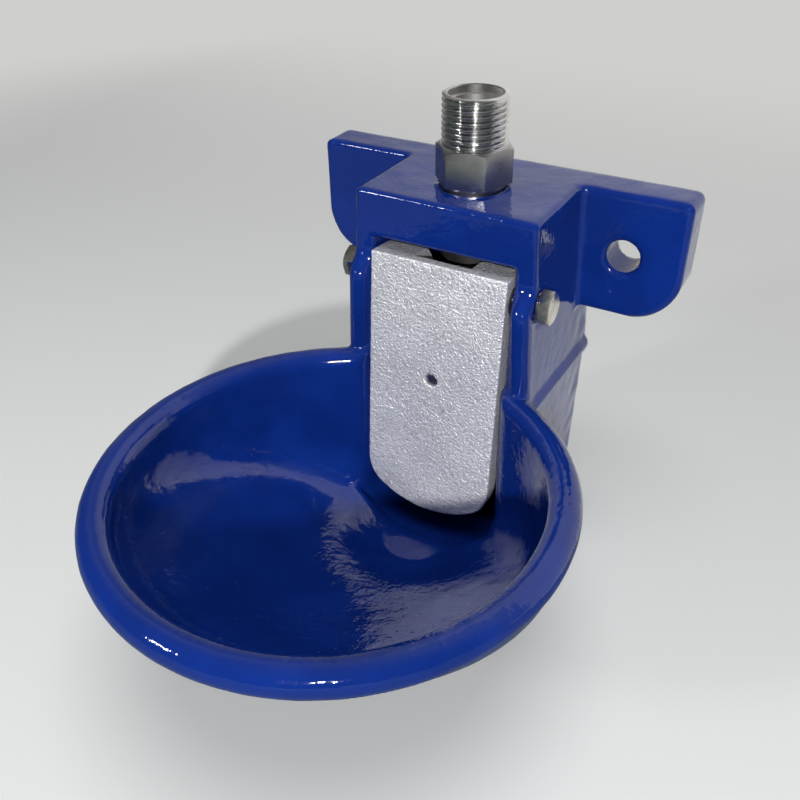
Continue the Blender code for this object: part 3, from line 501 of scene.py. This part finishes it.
def dish_field(side, depth, z, wall):
    """The dish as a solid: its hollow with no wall, its outside with one."""
    circle = np.hypot(side, depth - BOWL_DEPTH) - DISH_RADIUS - wall
    mouth = np.maximum(side - CHUTE_HALF - wall, depth - BOWL_DEPTH)
    plan = smooth_least(circle, mouth, MOUTH_BLEND)
    fillet = (DISH_FILLET + wall) * FILLET_SPREAD
    shape = smooth_most(dish_floor(side, depth, z, wall), plan, fillet)
    above = np.maximum(circle, RIM_HEIGHT - wall - z)
    return np.maximum(smooth_least(shape, above, RIM_BEAD), circle)


def cheek_beads(side, depth, z):
    """The rounded front edges of the cheeks, which run down into the rim."""
    shoulder = TOP - ROOF - SHOULDER_DROP
    reach = CHEEK_REACH * eased((shoulder - z) / SHOULDER_HEIGHT)
    across = side - housing_half_width(z) + CHEEK_BEAD
    ahead = depth - BOX_DEPTH + CHEEK_BEAD - reach
    bead = np.hypot(across, ahead) - CHEEK_BEAD
    bead = smooth_most(bead, z - shoulder - CHEEK_BEAD, EDGE)
    return np.maximum(bead, RIM_HEIGHT - RIM_BEAD - z)


def chute_field(side, depth, z):
    """The space that the tongue hangs in."""
    ceiling = TOP - ROOF
    middle = (ceiling + CHUTE_FLOOR) / 2
    half = (ceiling - CHUTE_FLOOR) / 2
    corners = rounded_slab((side, z - middle), (CHUTE_HALF, half), CHUTE_CORNER)
    square = np.maximum(side - CHUTE_HALF, np.abs(z - middle) - half)
    shape = np.where(z > middle, square, corners)
    return np.maximum(shape, np.abs(depth - (CHUTE_REACH + BACK_WALL) / 2) - (CHUTE_REACH - BACK_WALL) / 2)


def casting_field(x, y, z):
    """Distance to the whole casting's surface, less than 0 inside the iron."""
    side = np.abs(x)
    depth = WALL_Y - y
    shape = smooth_least(housing_field(side, depth, z), flange_field(side, depth, z), FILLET)
    shape = trimmed(shape, side, depth, z)
    dish = np.maximum(dish_field(side, depth, z, DISH_SKIN), z - RIM_HEIGHT - RIM_BEAD / 4)
    shape = smooth_least(shape, dish, ROOT_FILLET)
    rim = np.hypot(np.hypot(side, depth - BOWL_DEPTH) - BOWL_RADIUS, z - RIM_HEIGHT) - RIM_BEAD
    shape = smooth_least(shape, rim, FILLET)
    shape = smooth_least(shape, cheek_beads(side, depth, z), EDGE / 2)
    ridge_x = housing_half_width(np.array(RIM_HEIGHT)) - RIDGE_SINK
    ridge_z = RIM_HEIGHT - RIDGE_DROP
    front = BOX_DEPTH + CHEEK_REACH
    ridge_ends = (ridge_x, front, ridge_z), (ridge_x, RIDGE_BACK, ridge_z)
    ridge = bar_along((side, depth, z), *ridge_ends, RIDGE_RADIUS)
    shape = smooth_least(shape, ridge, EDGE)
    hollow = np.maximum(dish_field(side, depth, z, 0.0), z - RIM_HEIGHT - 2 * RIM_BEAD)
    shape = cut(shape, smooth_least(hollow, chute_field(side, depth, z), MOUTH_BLEND), EDGE)
    drop = TOP - BOLT_HOLE_DROP - z
    shape = cut(shape, np.hypot(side - BOLT_HOLE_X, drop) - BOLT_HOLE, HOLE_EDGE)
    pivot = np.hypot(y - PIVOT.y, z - PIVOT.z)
    shape = cut(shape, pivot - PIVOT_HOLE, HOLE_EDGE)
    seat = np.maximum(pivot - BOLT_SEAT, housing_half_width(np.array(PIVOT.z)) - side)
    shape = cut(shape, seat, HOLE_EDGE)
    valve_hole = np.hypot(side, y - VALVE_Y) - THREAD_RADIUS - VALVE_PLAY
    valve_hole = np.maximum(valve_hole, TOP - VALVE_HOLE_END - z)
    shape = cut(shape, valve_hole, HOLE_EDGE)
    return smooth_most(shape, -z, EDGE)


def tongue_space(x, y, z):
    """Points seen from the tongue's own upright frame."""
    cos, sin = math.cos(TONGUE_TILT), math.sin(TONGUE_TILT)
    ahead, up = y - PIVOT.y, z - PIVOT.z
    return np.abs(x), ahead * cos - up * sin, ahead * sin + up * cos


def tongue_field(x, y, z):
    """Distance to the surface of the tongue and its heel."""
    side, ahead, up = tongue_space(x, y, z)
    arc_radius = (TONGUE_HALF ** 2 + TIP_SAG ** 2) / (2 * TIP_SAG)
    tip = np.hypot(side, up - arc_radius + TONGUE_LENGTH) - arc_radius
    tip = np.where(up > arc_radius - TONGUE_LENGTH, -1.0, tip)
    shape = smooth_most(side - TONGUE_HALF, tip, TIP_CORNER)
    taper = (TONGUE_BOSS - TONGUE_TIP + TONGUE_FACE) / TONGUE_LENGTH
    back = np.hypot(np.maximum(ahead, 0.0), up) - TONGUE_BOSS
    slope = (ahead - TONGUE_BOSS - taper * up) / math.hypot(1.0, taper)
    back = np.where(up < 0.0, slope, back)
    shape = smooth_most(shape, back, TONGUE_EDGE)
    shape = smooth_most(shape, -TONGUE_FACE - ahead, TONGUE_EDGE)
    shape = smooth_most(shape, up - TONGUE_TOP, TONGUE_EDGE)
    plate_back = TONGUE_PLATE - TONGUE_FACE
    pocket = smooth_most(side - TONGUE_HALF + RIB_WIDTH, up + POCKET_TOP, TONGUE_EDGE)
    pocket = smooth_most(pocket, POCKET_MARGIN - TONGUE_LENGTH - up, TONGUE_EDGE)
    shape = cut(shape, smooth_most(pocket, plate_back - ahead, TONGUE_EDGE), TONGUE_EDGE)
    notch = smooth_most(side - NOTCH_HALF, -POCKET_TOP - up, TONGUE_EDGE)
    shape = cut(shape, smooth_most(notch, plate_back - ahead, TONGUE_EDGE), TONGUE_EDGE)
    plug = np.hypot(side, up + PLUG_DROP) - PLUG_HOLE
    shape = cut(shape, np.maximum(plug, ahead + TONGUE_FACE - PLUG_DEPTH), HOLE_EDGE)
    level_y, level_z = y - PIVOT.y, z - PIVOT.z
    bore = np.hypot(level_y, level_z) - BUSH_BORE
    shape = cut(shape, np.maximum(bore, TONGUE_HALF - BUSH_REACH - side), HOLE_EDGE)
    middle = HEEL_TOP - HEEL_THICKNESS / 2
    heel = smooth_most(np.abs(level_z - middle) - HEEL_THICKNESS / 2, side - HEEL_HALF, TONGUE_EDGE)
    heel = smooth_most(heel, level_y - HEEL_END, TONGUE_EDGE)
    heel = smooth_most(heel, -TONGUE_FACE + TONGUE_PLATE / 2 - level_y, TONGUE_EDGE)
    shape = smooth_least(shape, heel, 2 * TONGUE_EDGE)
    screw_hole = np.hypot(side, level_y - HEEL_HOLE_Y) - HEEL_HOLE
    return cut(shape, screw_hole, HOLE_EDGE)


# Four directions whose differences give a field's slope
CORNERS = np.array([(1, -1, -1), (-1, -1, 1), (-1, 1, -1), (1, 1, 1)], float)


def slope_of(field, points, step):
    slope = np.zeros_like(points)
    for corner in CORNERS:
        slope += corner * field(*(points + step * corner).T)[:, None]
    return slope / (4 * step)


def surface_of(field, low, high, cell):
    """Points and four-sided faces where a field is 0, with one point in each grid cell it crosses."""
    counts = [math.ceil((high[i] - low[i]) / cell) + 1 for i in range(3)]
    grid = np.meshgrid(*[low[i] + cell * np.arange(counts[i]) for i in range(3)], indexing="ij")
    value = field(*grid)
    strides = np.array([counts[1] * counts[2], counts[2], 1])
    cells, places, faces = [], [], []
    for axis in range(3):
        ahead = [slice(None)] * 3
        behind = [slice(None)] * 3
        ahead[axis] = slice(1, None)
        behind[axis] = slice(None, -1)
        first, second = value[tuple(behind)], value[tuple(ahead)]
        where = np.argwhere((first < 0) != (second < 0))
        a, b = first[tuple(where.T)], second[tuple(where.T)]
        place = where.astype(float)
        place[:, axis] += a / (a - b)
        around = []
        for u, v in ((0, 0), (-1, 0), (-1, -1), (0, -1)):
            corner = where.copy()
            corner[:, (axis + 1) % 3] += u
            corner[:, (axis + 2) % 3] += v
            around.append(corner @ strides)
            cells.append(around[-1])
            places.append(place)
        face = np.stack(around, 1)
        face[a > 0] = face[a > 0][:, ::-1]
        faces.append(face)
    used, index = np.unique(np.concatenate(cells), return_inverse=True)
    places = np.concatenate(places)
    number = np.bincount(index)
    points = np.stack([np.bincount(index, places[:, i]) / number for i in range(3)], 1)
    faces = np.searchsorted(used, np.concatenate(faces))
    return np.array(low) + cell * points, faces


def settle(field, points, faces, cell, rounds=6):
    """Spread the points evenly and bring them onto the field's surface."""
    around = np.concatenate([faces[:, [i, (i + 1) % 4]] for i in range(4)])
    around = np.concatenate([around, around[:, ::-1]])
    number = np.bincount(around[:, 0], minlength=len(points))[:, None]
    for _ in range(rounds):
        ends = points[around[:, 1]]
        total = np.stack([np.bincount(around[:, 0], ends[:, i], len(points)) for i in range(3)], 1)
        pull = total / number - points
        slope = slope_of(field, points, cell / 8)
        slope /= np.maximum(np.linalg.norm(slope, axis=1), 1e-9)[:, None]
        pull -= slope * np.sum(pull * slope, axis=1)[:, None]
        points = points + 0.5 * pull
        for _ in range(2):
            slope = slope_of(field, points, cell / 8)
            size = np.maximum(np.sum(slope * slope, axis=1), 0.25)
            step = field(*points.T) / size
            points = points - slope * np.clip(step, -cell / 2, cell / 2)[:, None]
    return points


def modelled(name, field, low, high, cell, material, relief):
    """A piece whose surface is where a field is 0, with a relief that is a height for each point."""
    margin = 3 * cell
    points, faces = surface_of(field, [v - margin for v in low], [v + margin for v in high], cell)
    points = settle(field, points, faces, cell)
    slope = slope_of(field, points, cell / 4)
    slope /= np.maximum(np.linalg.norm(slope, axis=1), 1e-9)[:, None]
    points = points + slope * relief(points)[:, None]
    points[:, 1] = np.minimum(points[:, 1], high[1])
    mesh = bpy.data.meshes.new(name)
    mesh.from_pydata(points.tolist(), [], faces.tolist())
    mesh.materials.append(material)
    mesh.shade_smooth()
    return new_piece(name, mesh)


def new_piece(name, mesh):
    piece = bpy.data.objects.new(name, mesh)
    bpy.context.scene.collection.objects.link(piece)
    return piece


def lumps(points, size, seed):
    """Smooth random heights between about -1 and 1, whose lumps are so large."""
    shift = Vector((seed, 2.0 * seed, 3.0 * seed))
    return np.array([noise.noise(Vector(point) / size + shift) for point in points.tolist()])


def casting_relief(points):
    """Waves of an iron casting, larger along the flange's edges."""
    height = 0.10 * MM * lumps(points, 16 * MM, 3) + 0.05 * MM * lumps(points, 5 * MM, 5)
    near_top = eased((points[:, 2] - TOP + 6 * MM) / (6 * MM))
    height += near_top * 0.22 * MM * lumps(points, 9 * MM, 8)
    below_ears = eased((TOP - FLANGE_DROP - points[:, 2]) / (4 * MM))
    near_wall = eased((points[:, 1] - WALL_Y + 14 * MM) / (8 * MM))
    on_side = eased((np.abs(points[:, 0]) - CHUTE_HALF - 3 * MM) / (2 * MM))
    height += below_ears * on_side * (0.10 + 0.45 * near_wall) * MM * lumps(points, 7 * MM, 11)
    return height * eased((WALL_Y - points[:, 1]) / (2 * MM)) * eased(points[:, 2] / (2 * MM))


def tongue_relief(points):
    """Coarse grain of the sand mould, none of it on the bores."""
    height = 0.07 * MM * lumps(points, 1.5 * MM, 2) + 0.06 * MM * lumps(points, 0.9 * MM, 7)
    height += 0.08 * MM * lumps(points, 12 * MM, 4)
    bore = np.hypot(points[:, 1] - PIVOT.y, points[:, 2] - PIVOT.z)
    return height * eased((bore - BUSH_BORE) / (2 * MM))


def turned_mesh(name, profile, steps=ROUND_STEPS):
    """A closed skin, turned about the valve's axis from (radius, height) points listed from top to bottom."""
    work = bmesh.new()
    rings = []
    for radius, height in profile:
        ring = []
        for i in range(steps):
            angle = 2 * math.pi * i / steps
            place = (radius * math.cos(angle), VALVE_Y + radius * math.sin(angle), TOP + height)
            ring.append(work.verts.new(place))
        rings.append(ring)
    for upper, lower in zip(rings, rings[1:]):
        for i in range(steps):
            j = (i + 1) % steps
            work.faces.new((upper[i], lower[i], lower[j], upper[j]))
    bmesh.ops.remove_doubles(work, verts=work.verts, dist=1e-7)
    bmesh.ops.recalc_face_normals(work, faces=work.faces)
    mesh = bpy.data.meshes.new(name)
    work.to_mesh(mesh)
    work.free()
    return mesh


def thread_tree():
    """Geometry nodes that cut a right-hand pipe thread into a turned skin."""
    tree = bpy.data.node_groups.new("pipe_thread", "GeometryNodeTree")
    face = tree.interface
    face.new_socket("Geometry", in_out="INPUT", socket_type="NodeSocketGeometry")
    face.new_socket("Material", in_out="INPUT", socket_type="NodeSocketMaterial")
    for word in ("Axis Y", "Crest Radius", "Depth", "Pitch", "Thread Top", "Thread End", "Runout"):
        face.new_socket(word, in_out="INPUT", socket_type="NodeSocketFloat")
    face.new_socket("Geometry", in_out="OUTPUT", socket_type="NodeSocketGeometry")
    nodes = Nodes(tree)
    given = nodes.make("NodeGroupInput")
    place = nodes.make("GeometryNodeInputPosition")
    x = nodes.make("ShaderNodeSeparateXYZ", {}, {0: place})
    z = x.other("Z")
    y = x.other("Y") - given.other("Axis Y")
    radius = (x * x + y * y) ** 0.5
    turn = y.math("ARCTAN2", x) / (2 * math.pi)
    along = (z / given.other("Pitch") - turn).math("FRACT")
    crest = abs(along - 0.5) * 2.0
    root = (1.08 - crest * 1.25).at_least(0.0).at_most(1.0)
    root = root * root * (3.0 - root * 2.0)
    top_fade = (given.other("Thread Top") - z) / given.other("Runout")
    end_fade = (z - given.other("Thread End")) / given.other("Runout")
    fade = top_fade.between(0.0, 1.0) * end_fade.between(0.0, 1.0)
    on_crest = (radius / given.other("Crest Radius")).between(0.93, 0.96)
    depth = root * fade * on_crest * given.other("Depth") * -1.0
    offset = nodes.make("ShaderNodeCombineXYZ", {}, {"X": x / radius * depth, "Y": y / radius * depth})
    moved = nodes.make("GeometryNodeSetPosition", {}, {"Geometry": given, "Offset": offset})
    real = nodes.make("GeometryNodeRealizeInstances", {}, {"Geometry": moved})
    ready = nodes.make("GeometryNodeSetMaterial", {}, {"Geometry": real, "Material": given.other("Material")})
    nodes.make("NodeGroupOutput", {}, {"Geometry": ready})
    return tree


def grown(name, start, tree, inputs):
    """Run a geometry tree on a mesh and keep the result as a plain mesh."""
    carrier = new_piece(name + "_start", start)
    step = carrier.modifiers.new(tree.name, "NODES")
    step.node_group = tree
    for item in tree.interface.items_tree:
        if item.in_out == "INPUT" and item.name in inputs:
            step[item.identifier] = inputs[item.name]
    mesh = bpy.data.meshes.new_from_object(carrier.evaluated_get(bpy.context.evaluated_depsgraph_get()))
    bpy.data.objects.remove(carrier)
    mesh.name = name
    mesh.shade_smooth()
    mesh.set_sharp_from_angle(angle=math.radians(38))
    return new_piece(name, mesh)


def inlet_nipple(steel):
    """The threaded nipple, its bore and the nozzle below the roof, in one skin."""
    thread_top = NIPPLE_TOP - 0.5 * MM
    thread_end = HEX_LOW + HEX_HEIGHT - 0.2 * MM
    profile = [(MOUTH_RADIUS, NIPPLE_TOP - MOUTH_DEPTH), (MOUTH_RADIUS, NIPPLE_TOP - 0.3 * MM)]
    profile += [(MOUTH_RADIUS + 0.3 * MM, NIPPLE_TOP), (THREAD_RADIUS - 1.1 * MM, NIPPLE_TOP)]
    profile += [(THREAD_RADIUS - 0.5 * MM, NIPPLE_TOP - 0.25 * MM)]
    row = (thread_top - thread_end) / THREAD_ROWS
    profile += [(THREAD_RADIUS, thread_top - row * i) for i in range(THREAD_ROWS + 1)]
    profile += [(THREAD_RADIUS, NOZZLE_END + 0.4 * MM), (THREAD_RADIUS - 0.4 * MM, NOZZLE_END)]
    profile += [(OUTLET_RADIUS, NOZZLE_END), (OUTLET_RADIUS, BORE_FLOOR), (BORE_RADIUS, BORE_FLOOR)]
    profile += [(BORE_RADIUS, NIPPLE_TOP - MOUTH_DEPTH - 0.4 * MM), (MOUTH_RADIUS, NIPPLE_TOP - MOUTH_DEPTH)]
    start = turned_mesh("inlet_nipple_start", profile)
    inputs = {"Material": steel, "Axis Y": VALVE_Y, "Crest Radius": THREAD_RADIUS,
              "Depth": THREAD_DEPTH, "Pitch": THREAD_PITCH, "Thread Top": TOP + thread_top + 0.4 * MM,
              "Thread End": TOP + thread_end, "Runout": 1.2 * MM}
    return grown("inlet_nipple", start, thread_tree(), inputs)


def with_modifiers(piece):
    """The piece with its modifiers made real, and none left on it."""
    view = bpy.context.evaluated_depsgraph_get()
    mesh = bpy.data.meshes.new_from_object(piece.evaluated_get(view))
    name = piece.name
    for step in list(piece.modifiers):
        helper = getattr(step, "object", None)
        if helper:
            bpy.data.objects.remove(helper)
    bpy.data.objects.remove(piece)
    return new_piece(name, mesh)


def hexagon_blank(name, across, low, high, cone, turn, material, hole=0.0):
    """A hexagon, bored or not, whose corners are turned off at the top and, less so, at the bottom."""
    work = bmesh.new()
    corner = across / math.sqrt(3)
    matrix = Matrix.Translation((0.0, 0.0, (low + high) / 2)) @ Matrix.Rotation(turn, 4, "Z")
    bmesh.ops.create_cone(work, cap_ends=True, segments=6, radius1=corner, radius2=corner,
                          depth=high - low, matrix=matrix)
    prism = bpy.data.meshes.new(name)
    work.to_mesh(prism)
    work.free()
    piece = new_piece(name, prism)
    work = bmesh.new()
    flat = across / 2 - 0.35 * MM
    reach = corner + 0.4 * MM
    profile = [(hole, high + 0.01 * MM), (flat, high + 0.01 * MM), (reach, high - (reach - flat) * cone)]
    profile += [(reach, low + 0.25 * MM), (reach - 0.6 * MM, low - 0.01 * MM), (hole, low - 0.01 * MM)]
    if hole:
        profile.append(profile[0])
    verts = [work.verts.new((radius, 0.0, height)) for radius, height in profile]
    edges = [work.edges.new(pair) for pair in zip(verts, verts[1:])]
    bmesh.ops.spin(work, geom=verts + edges, cent=(0.0, 0.0, 0.0), axis=(0.0, 0.0, 1.0), steps=96,
                   angle=2 * math.pi)
    bmesh.ops.remove_doubles(work, verts=work.verts, dist=1e-7)
    bmesh.ops.recalc_face_normals(work, faces=work.faces)
    shaper = bpy.data.meshes.new(name + "_shaper")
    work.to_mesh(shaper)
    work.free()
    step = piece.modifiers.new("corners", "BOOLEAN")
    step.operation = "INTERSECT"
    step.object = new_piece(name + "_shaper", shaper)
    edge = piece.modifiers.new("edges", "BEVEL")
    edge.width = 0.16 * MM
    edge.segments = 2
    edge.limit_method = "ANGLE"
    edge.angle_limit = math.radians(28)
    piece = with_modifiers(piece)
    piece.data.materials.clear()
    piece.data.materials.append(material)
    piece.data.shade_smooth()
    piece.data.set_sharp_from_angle(angle=math.radians(30))
    return piece


def joined(name, pieces):
    """Several pieces as one mesh."""
    work = bmesh.new()
    for piece in pieces:
        work.from_mesh(piece.data)
    mesh = bpy.data.meshes.new(name)
    for material in pieces[0].data.materials:
        mesh.materials.append(material)
    work.to_mesh(mesh)
    work.free()
    for piece in pieces:
        bpy.data.objects.remove(piece)
    return new_piece(name, mesh)


def valve_hexagon(steel):
    """The hexagon and the round collar that it sits on."""
    high = HEX_LOW + HEX_HEIGHT
    piece = hexagon_blank("valve_hexagon", HEX_ACROSS, HEX_LOW, high, HEX_CONE, HEX_TURN, steel, HEX_BORE)
    piece.data.transform(Matrix.Translation((0.0, VALVE_Y, TOP)))
    outer = HEX_ACROSS / 2 - 0.1 * MM
    high = HEX_LOW + 0.3 * MM
    profile = [(HEX_BORE, high), (outer, high), (outer, COLLAR_LOW + COLLAR_EDGE)]
    profile += [(outer - 0.2 * MM, COLLAR_LOW), (HEX_BORE, COLLAR_LOW), (HEX_BORE, high)]
    collar = new_piece("collar", turned_mesh("collar", profile))
    collar.data.materials.append(steel)
    collar.data.shade_smooth()
    collar.data.set_sharp_from_angle(angle=math.radians(38))
    return joined("valve_hexagon", [piece, collar])


def plug_pin(steel):
    """The slightly domed end of the pin in the tongue's face."""
    low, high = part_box("tongue_plug")
    radius = (high.x - low.x) / 2
    work = bmesh.new()
    bmesh.ops.create_cone(work, cap_ends=True, segments=48, radius1=radius, radius2=radius,
                          depth=PLUG_DEPTH - PLUG_RECESS)
    rim = [edge for edge in work.edges if edge.is_manifold and edge.calc_face_angle() > 1.0]
    bmesh.ops.bevel(work, geom=rim, offset=0.35 * MM, segments=3, affect="EDGES", profile=0.5)
    mesh = bpy.data.meshes.new("plug_pin")
    work.to_mesh(mesh)
    work.free()
    lie = Matrix.Rotation(math.pi / 2, 4, "X")
    middle = Matrix.Translation((0.0, (PLUG_DEPTH + PLUG_RECESS) / 2 - TONGUE_FACE, -PLUG_DROP))
    mesh.transform(Matrix.Translation(PIVOT) @ Matrix.Rotation(-TONGUE_TILT, 4, "X") @ middle @ lie)
    mesh.materials.append(steel)
    mesh.shade_smooth()
    mesh.set_sharp_from_angle(angle=math.radians(40))
    return new_piece("plug_pin", mesh)


def pivot_bolt(name, side, zinc):
    """A hexagon bolt with a chamfered head, lying along X through a cheek."""
    low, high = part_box(name)
    seat = housing_half_width(np.array(PIVOT.z)) + BOLT_GAP
    height = max(abs(low.x), abs(high.x)) - seat
    inner = min(abs(low.x), abs(high.x))
    across = min(high.y - low.y, high.z - low.z)
    head = hexagon_blank(name + "_head", across, seat, seat + height, BOLT_CONE, BOLT_TURN, zinc)
    work = bmesh.new()
    shank = Matrix.Translation((0.0, 0.0, (inner + seat + height / 2) / 2))
    bmesh.ops.create_cone(work, cap_ends=True, segments=32, radius1=BOLT_SHANK, radius2=BOLT_SHANK,
                          depth=seat + height / 2 - inner, matrix=shank)
    mesh = bpy.data.meshes.new(name + "_shank")
    work.to_mesh(mesh)
    work.free()
    bolt = joined(name + "_looks", [head, new_piece(name + "_shank", mesh)])
    turn = Matrix.Rotation(side * math.pi / 2, 4, "Y")
    bolt.data.transform(Matrix.Translation(PIVOT) @ turn)
    bolt.data.shade_smooth()
    bolt.data.set_sharp_from_angle(angle=math.radians(30))
    return bolt


def stage():
    """A pale floor that curves up into a pale backdrop, far enough away for every view. In reflections it
    holds painted light: a dark floor near the object, a pale strip just behind it and to its right, and a
    brighter glow behind, more so at the left.
    """
    far, width, height, curve, steps = 1.6, 4.0, 3.0, 0.5, 12
    line = [(-width, 0.0), (far - curve, 0.0)]
    for i in range(1, steps):
        angle = math.pi / 2 * i / steps
        line.append((far - curve + curve * math.sin(angle), curve - curve * math.cos(angle)))
    line += [(far, curve), (far, height)]
    mesh = bpy.data.meshes.new("sweep")
    points = [(x, y, z) for y, z in line for x in (-width, width)]
    faces = [(2 * i, 2 * i + 1, 2 * i + 3, 2 * i + 2) for i in range(len(line) - 1)]
    mesh.from_pydata(points, [], faces)
    mesh.shade_smooth()
    paper = Finish("pale_sweep")
    place_y = paper.make("ShaderNodeSeparateXYZ", {}, {0: paper.place}, "Y")
    place_x = place_y.other("X")
    ray = paper.make("ShaderNodeLightPath", output="Is Camera Ray")
    glossy = ray.other("Is Glossy Ray")
    # In reflections the far sweep glows brighter, more so at the left, as painted reflection of bright
    # surroundings.
    mirrored = glossy * place_y.between(0.1, 1.1) * (0.25 + place_x.between(-1.6, -0.4) * 0.75)
    away = (place_x * place_x + place_y * place_y).between(0.10, 0.80)
    seen = (ray * place_y.between(0.05, 0.75).at_least(away)).at_least(mirrored)
    # In reflections the floor is painted dark, as painted reflection of a dark room, except for a pale strip
    # just behind the object and to its right, which is a painted reflection of a lit wall.
    painted_wall_reflection = place_y.between(0.07, 0.13) * place_x.between(-0.02, 0.05)
    floor = paper.mix(painted_wall_reflection, (0.14, 0.16, 0.155), (0.80, 0.80, 0.78))
    pale = paper.mix(glossy, (0.55, 0.56, 0.555), floor)
    matt = paper.make("ShaderNodeBsdfDiffuse", {}, {"Color": pale})
    tint = paper.mix(glossy, (0.62, 0.62, 0.61), (0.88, 0.87, 0.86))
    glow = paper.make("ShaderNodeEmission", {}, {"Color": tint, "Strength": 1.0})
    both = paper.make("ShaderNodeMixShader", {}, {0: seen, 1: matt, 2: glow})
    paper.make("ShaderNodeOutputMaterial", {}, {"Surface": both})
    mesh.materials.append(paper.material)
    new_piece("sweep", mesh)


def area_light(name, place, aim, size, power, mirrored=True):
    lamp = bpy.data.lights.new(name, "AREA")
    lamp.shape = "DISK"
    lamp.size = size
    lamp.energy = power
    holder = bpy.data.objects.new(name, lamp)
    holder.location = place
    holder.rotation_euler = (Vector(aim) - Vector(place)).to_track_quat("-Z", "Y").to_euler()
    holder.visible_glossy = mirrored
    bpy.context.scene.collection.objects.link(holder)


def lights():
    """A lamp by the camera, a window at the left, soft light from above, and a room that is dark in front."""
    aim = (0.0, 0.0, 0.06)
    area_light("by_camera", (0.42, -0.79, 0.48), aim, 0.045, 11.6)
    area_light("window_left", (-0.75, -1.08, 0.70), aim, 0.18, 5.0)
    area_light("soft_top", (0.15, -0.1, 1.5), aim, 1.0, 12.5, mirrored=False)
    world = bpy.data.worlds.new("studio")
    bpy.context.scene.world = world
    world.use_nodes = True
    nodes = Nodes(world.node_tree)
    world.node_tree.nodes.clear()
    way = nodes.make("ShaderNodeTexCoord", output="Generated")
    way = nodes.make("ShaderNodeSeparateXYZ", {}, {0: way})
    behind = way.other("Y").between(-0.2, 0.6) * (0.2 + way.between(-0.95, -0.55) * 0.8)
    strength = 0.05 + behind * 0.40 + way.other("Z").between(0.4, 1.0) * 0.08
    direct = nodes.make("ShaderNodeLightPath", output="Is Camera Ray")
    strength = strength * (1.0 - direct) + direct * 0.62
    sky = nodes.make("ShaderNodeBackground", {}, {"Color": (0.97, 0.98, 1.0, 1.0), "Strength": strength})
    nodes.make("ShaderNodeOutputWorld", {}, {"Surface": sky})


def camera():
    """The photograph's view."""
    cos_drop, sin_drop = math.cos(CAMERA_DROP), math.sin(CAMERA_DROP)
    ahead = Vector((-math.sin(CAMERA_TURN) * cos_drop, math.cos(CAMERA_TURN) * cos_drop, -sin_drop))
    right = ahead.cross(Vector((0.0, 0.0, 1.0))).normalized()
    up = right.cross(ahead)
    cos_roll, sin_roll = math.cos(CAMERA_ROLL), math.sin(CAMERA_ROLL)
    rolled_right = right * cos_roll + up * sin_roll
    rolled_up = up * cos_roll - right * sin_roll
    lens = bpy.data.cameras.new("photo_view")
    lens.lens = CAMERA_LENS
    lens.sensor_width = CAMERA_SENSOR
    lens.sensor_fit = "HORIZONTAL"
    lens.clip_start = 0.01
    holder = bpy.data.objects.new("photo_view", lens)
    turn = Matrix((rolled_right, rolled_up, -ahead)).transposed().to_4x4()
    holder.matrix_world = Matrix.Translation(CAMERA_PLACE) @ turn
    bpy.context.scene.collection.objects.link(holder)
    bpy.context.scene.camera = holder


camera()
lights()
stage()
bpy.context.scene.view_settings.view_transform = "Standard"

FINISHES = {"enamel": blue_enamel(), "cast_tongue": cast_aluminium(), "stainless": stainless_steel(),
            "zinc": zinc_plate(), "brass": turned_brass(), "rubber": black_rubber(),
            "plastic": black_acetal()}
for part in frame["record"]["subparts"]:
    node = frame["nodes"][part["node"]]
    node.data.materials.clear()
    node.data.materials.append(FINISHES[part["material_slot"]])

casting = modelled("cast_bowl", casting_field, CASTING_LOW, CASTING_HIGH, CASTING_CELL, FINISHES["enamel"],
                   casting_relief)
tongue_low, tongue_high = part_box("tongue")
plate = modelled("push_tongue", tongue_field, tongue_low, tongue_high, TONGUE_CELL, FINISHES["cast_tongue"],
                 tongue_relief)
nipple = inlet_nipple(FINISHES["stainless"])
hexagon = valve_hexagon(FINISHES["stainless"])
plug = plug_pin(FINISHES["stainless"])
pieces = [(casting, "root", "bowl_casting", "enamel"), (plate, "tongue", "tongue", "cast_tongue"),
          (plug, "tongue", "tongue_plug", "stainless"),
          (nipple, "root", "valve_body", "stainless"), (hexagon, "root", "valve_body", "stainless")]
for word, side in {"left": -1, "right": 1}.items():
    bolt = pivot_bolt("pivot_bolt_" + word, side, FINISHES["zinc"])
    pieces.append((bolt, "root", "pivot_bolt_" + word, "zinc"))
for piece, body, node, slot in pieces:
    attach(piece, body)
    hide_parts(node)
    print(piece.name, "triangles", sum(len(face.vertices) - 2 for face in piece.data.polygons))
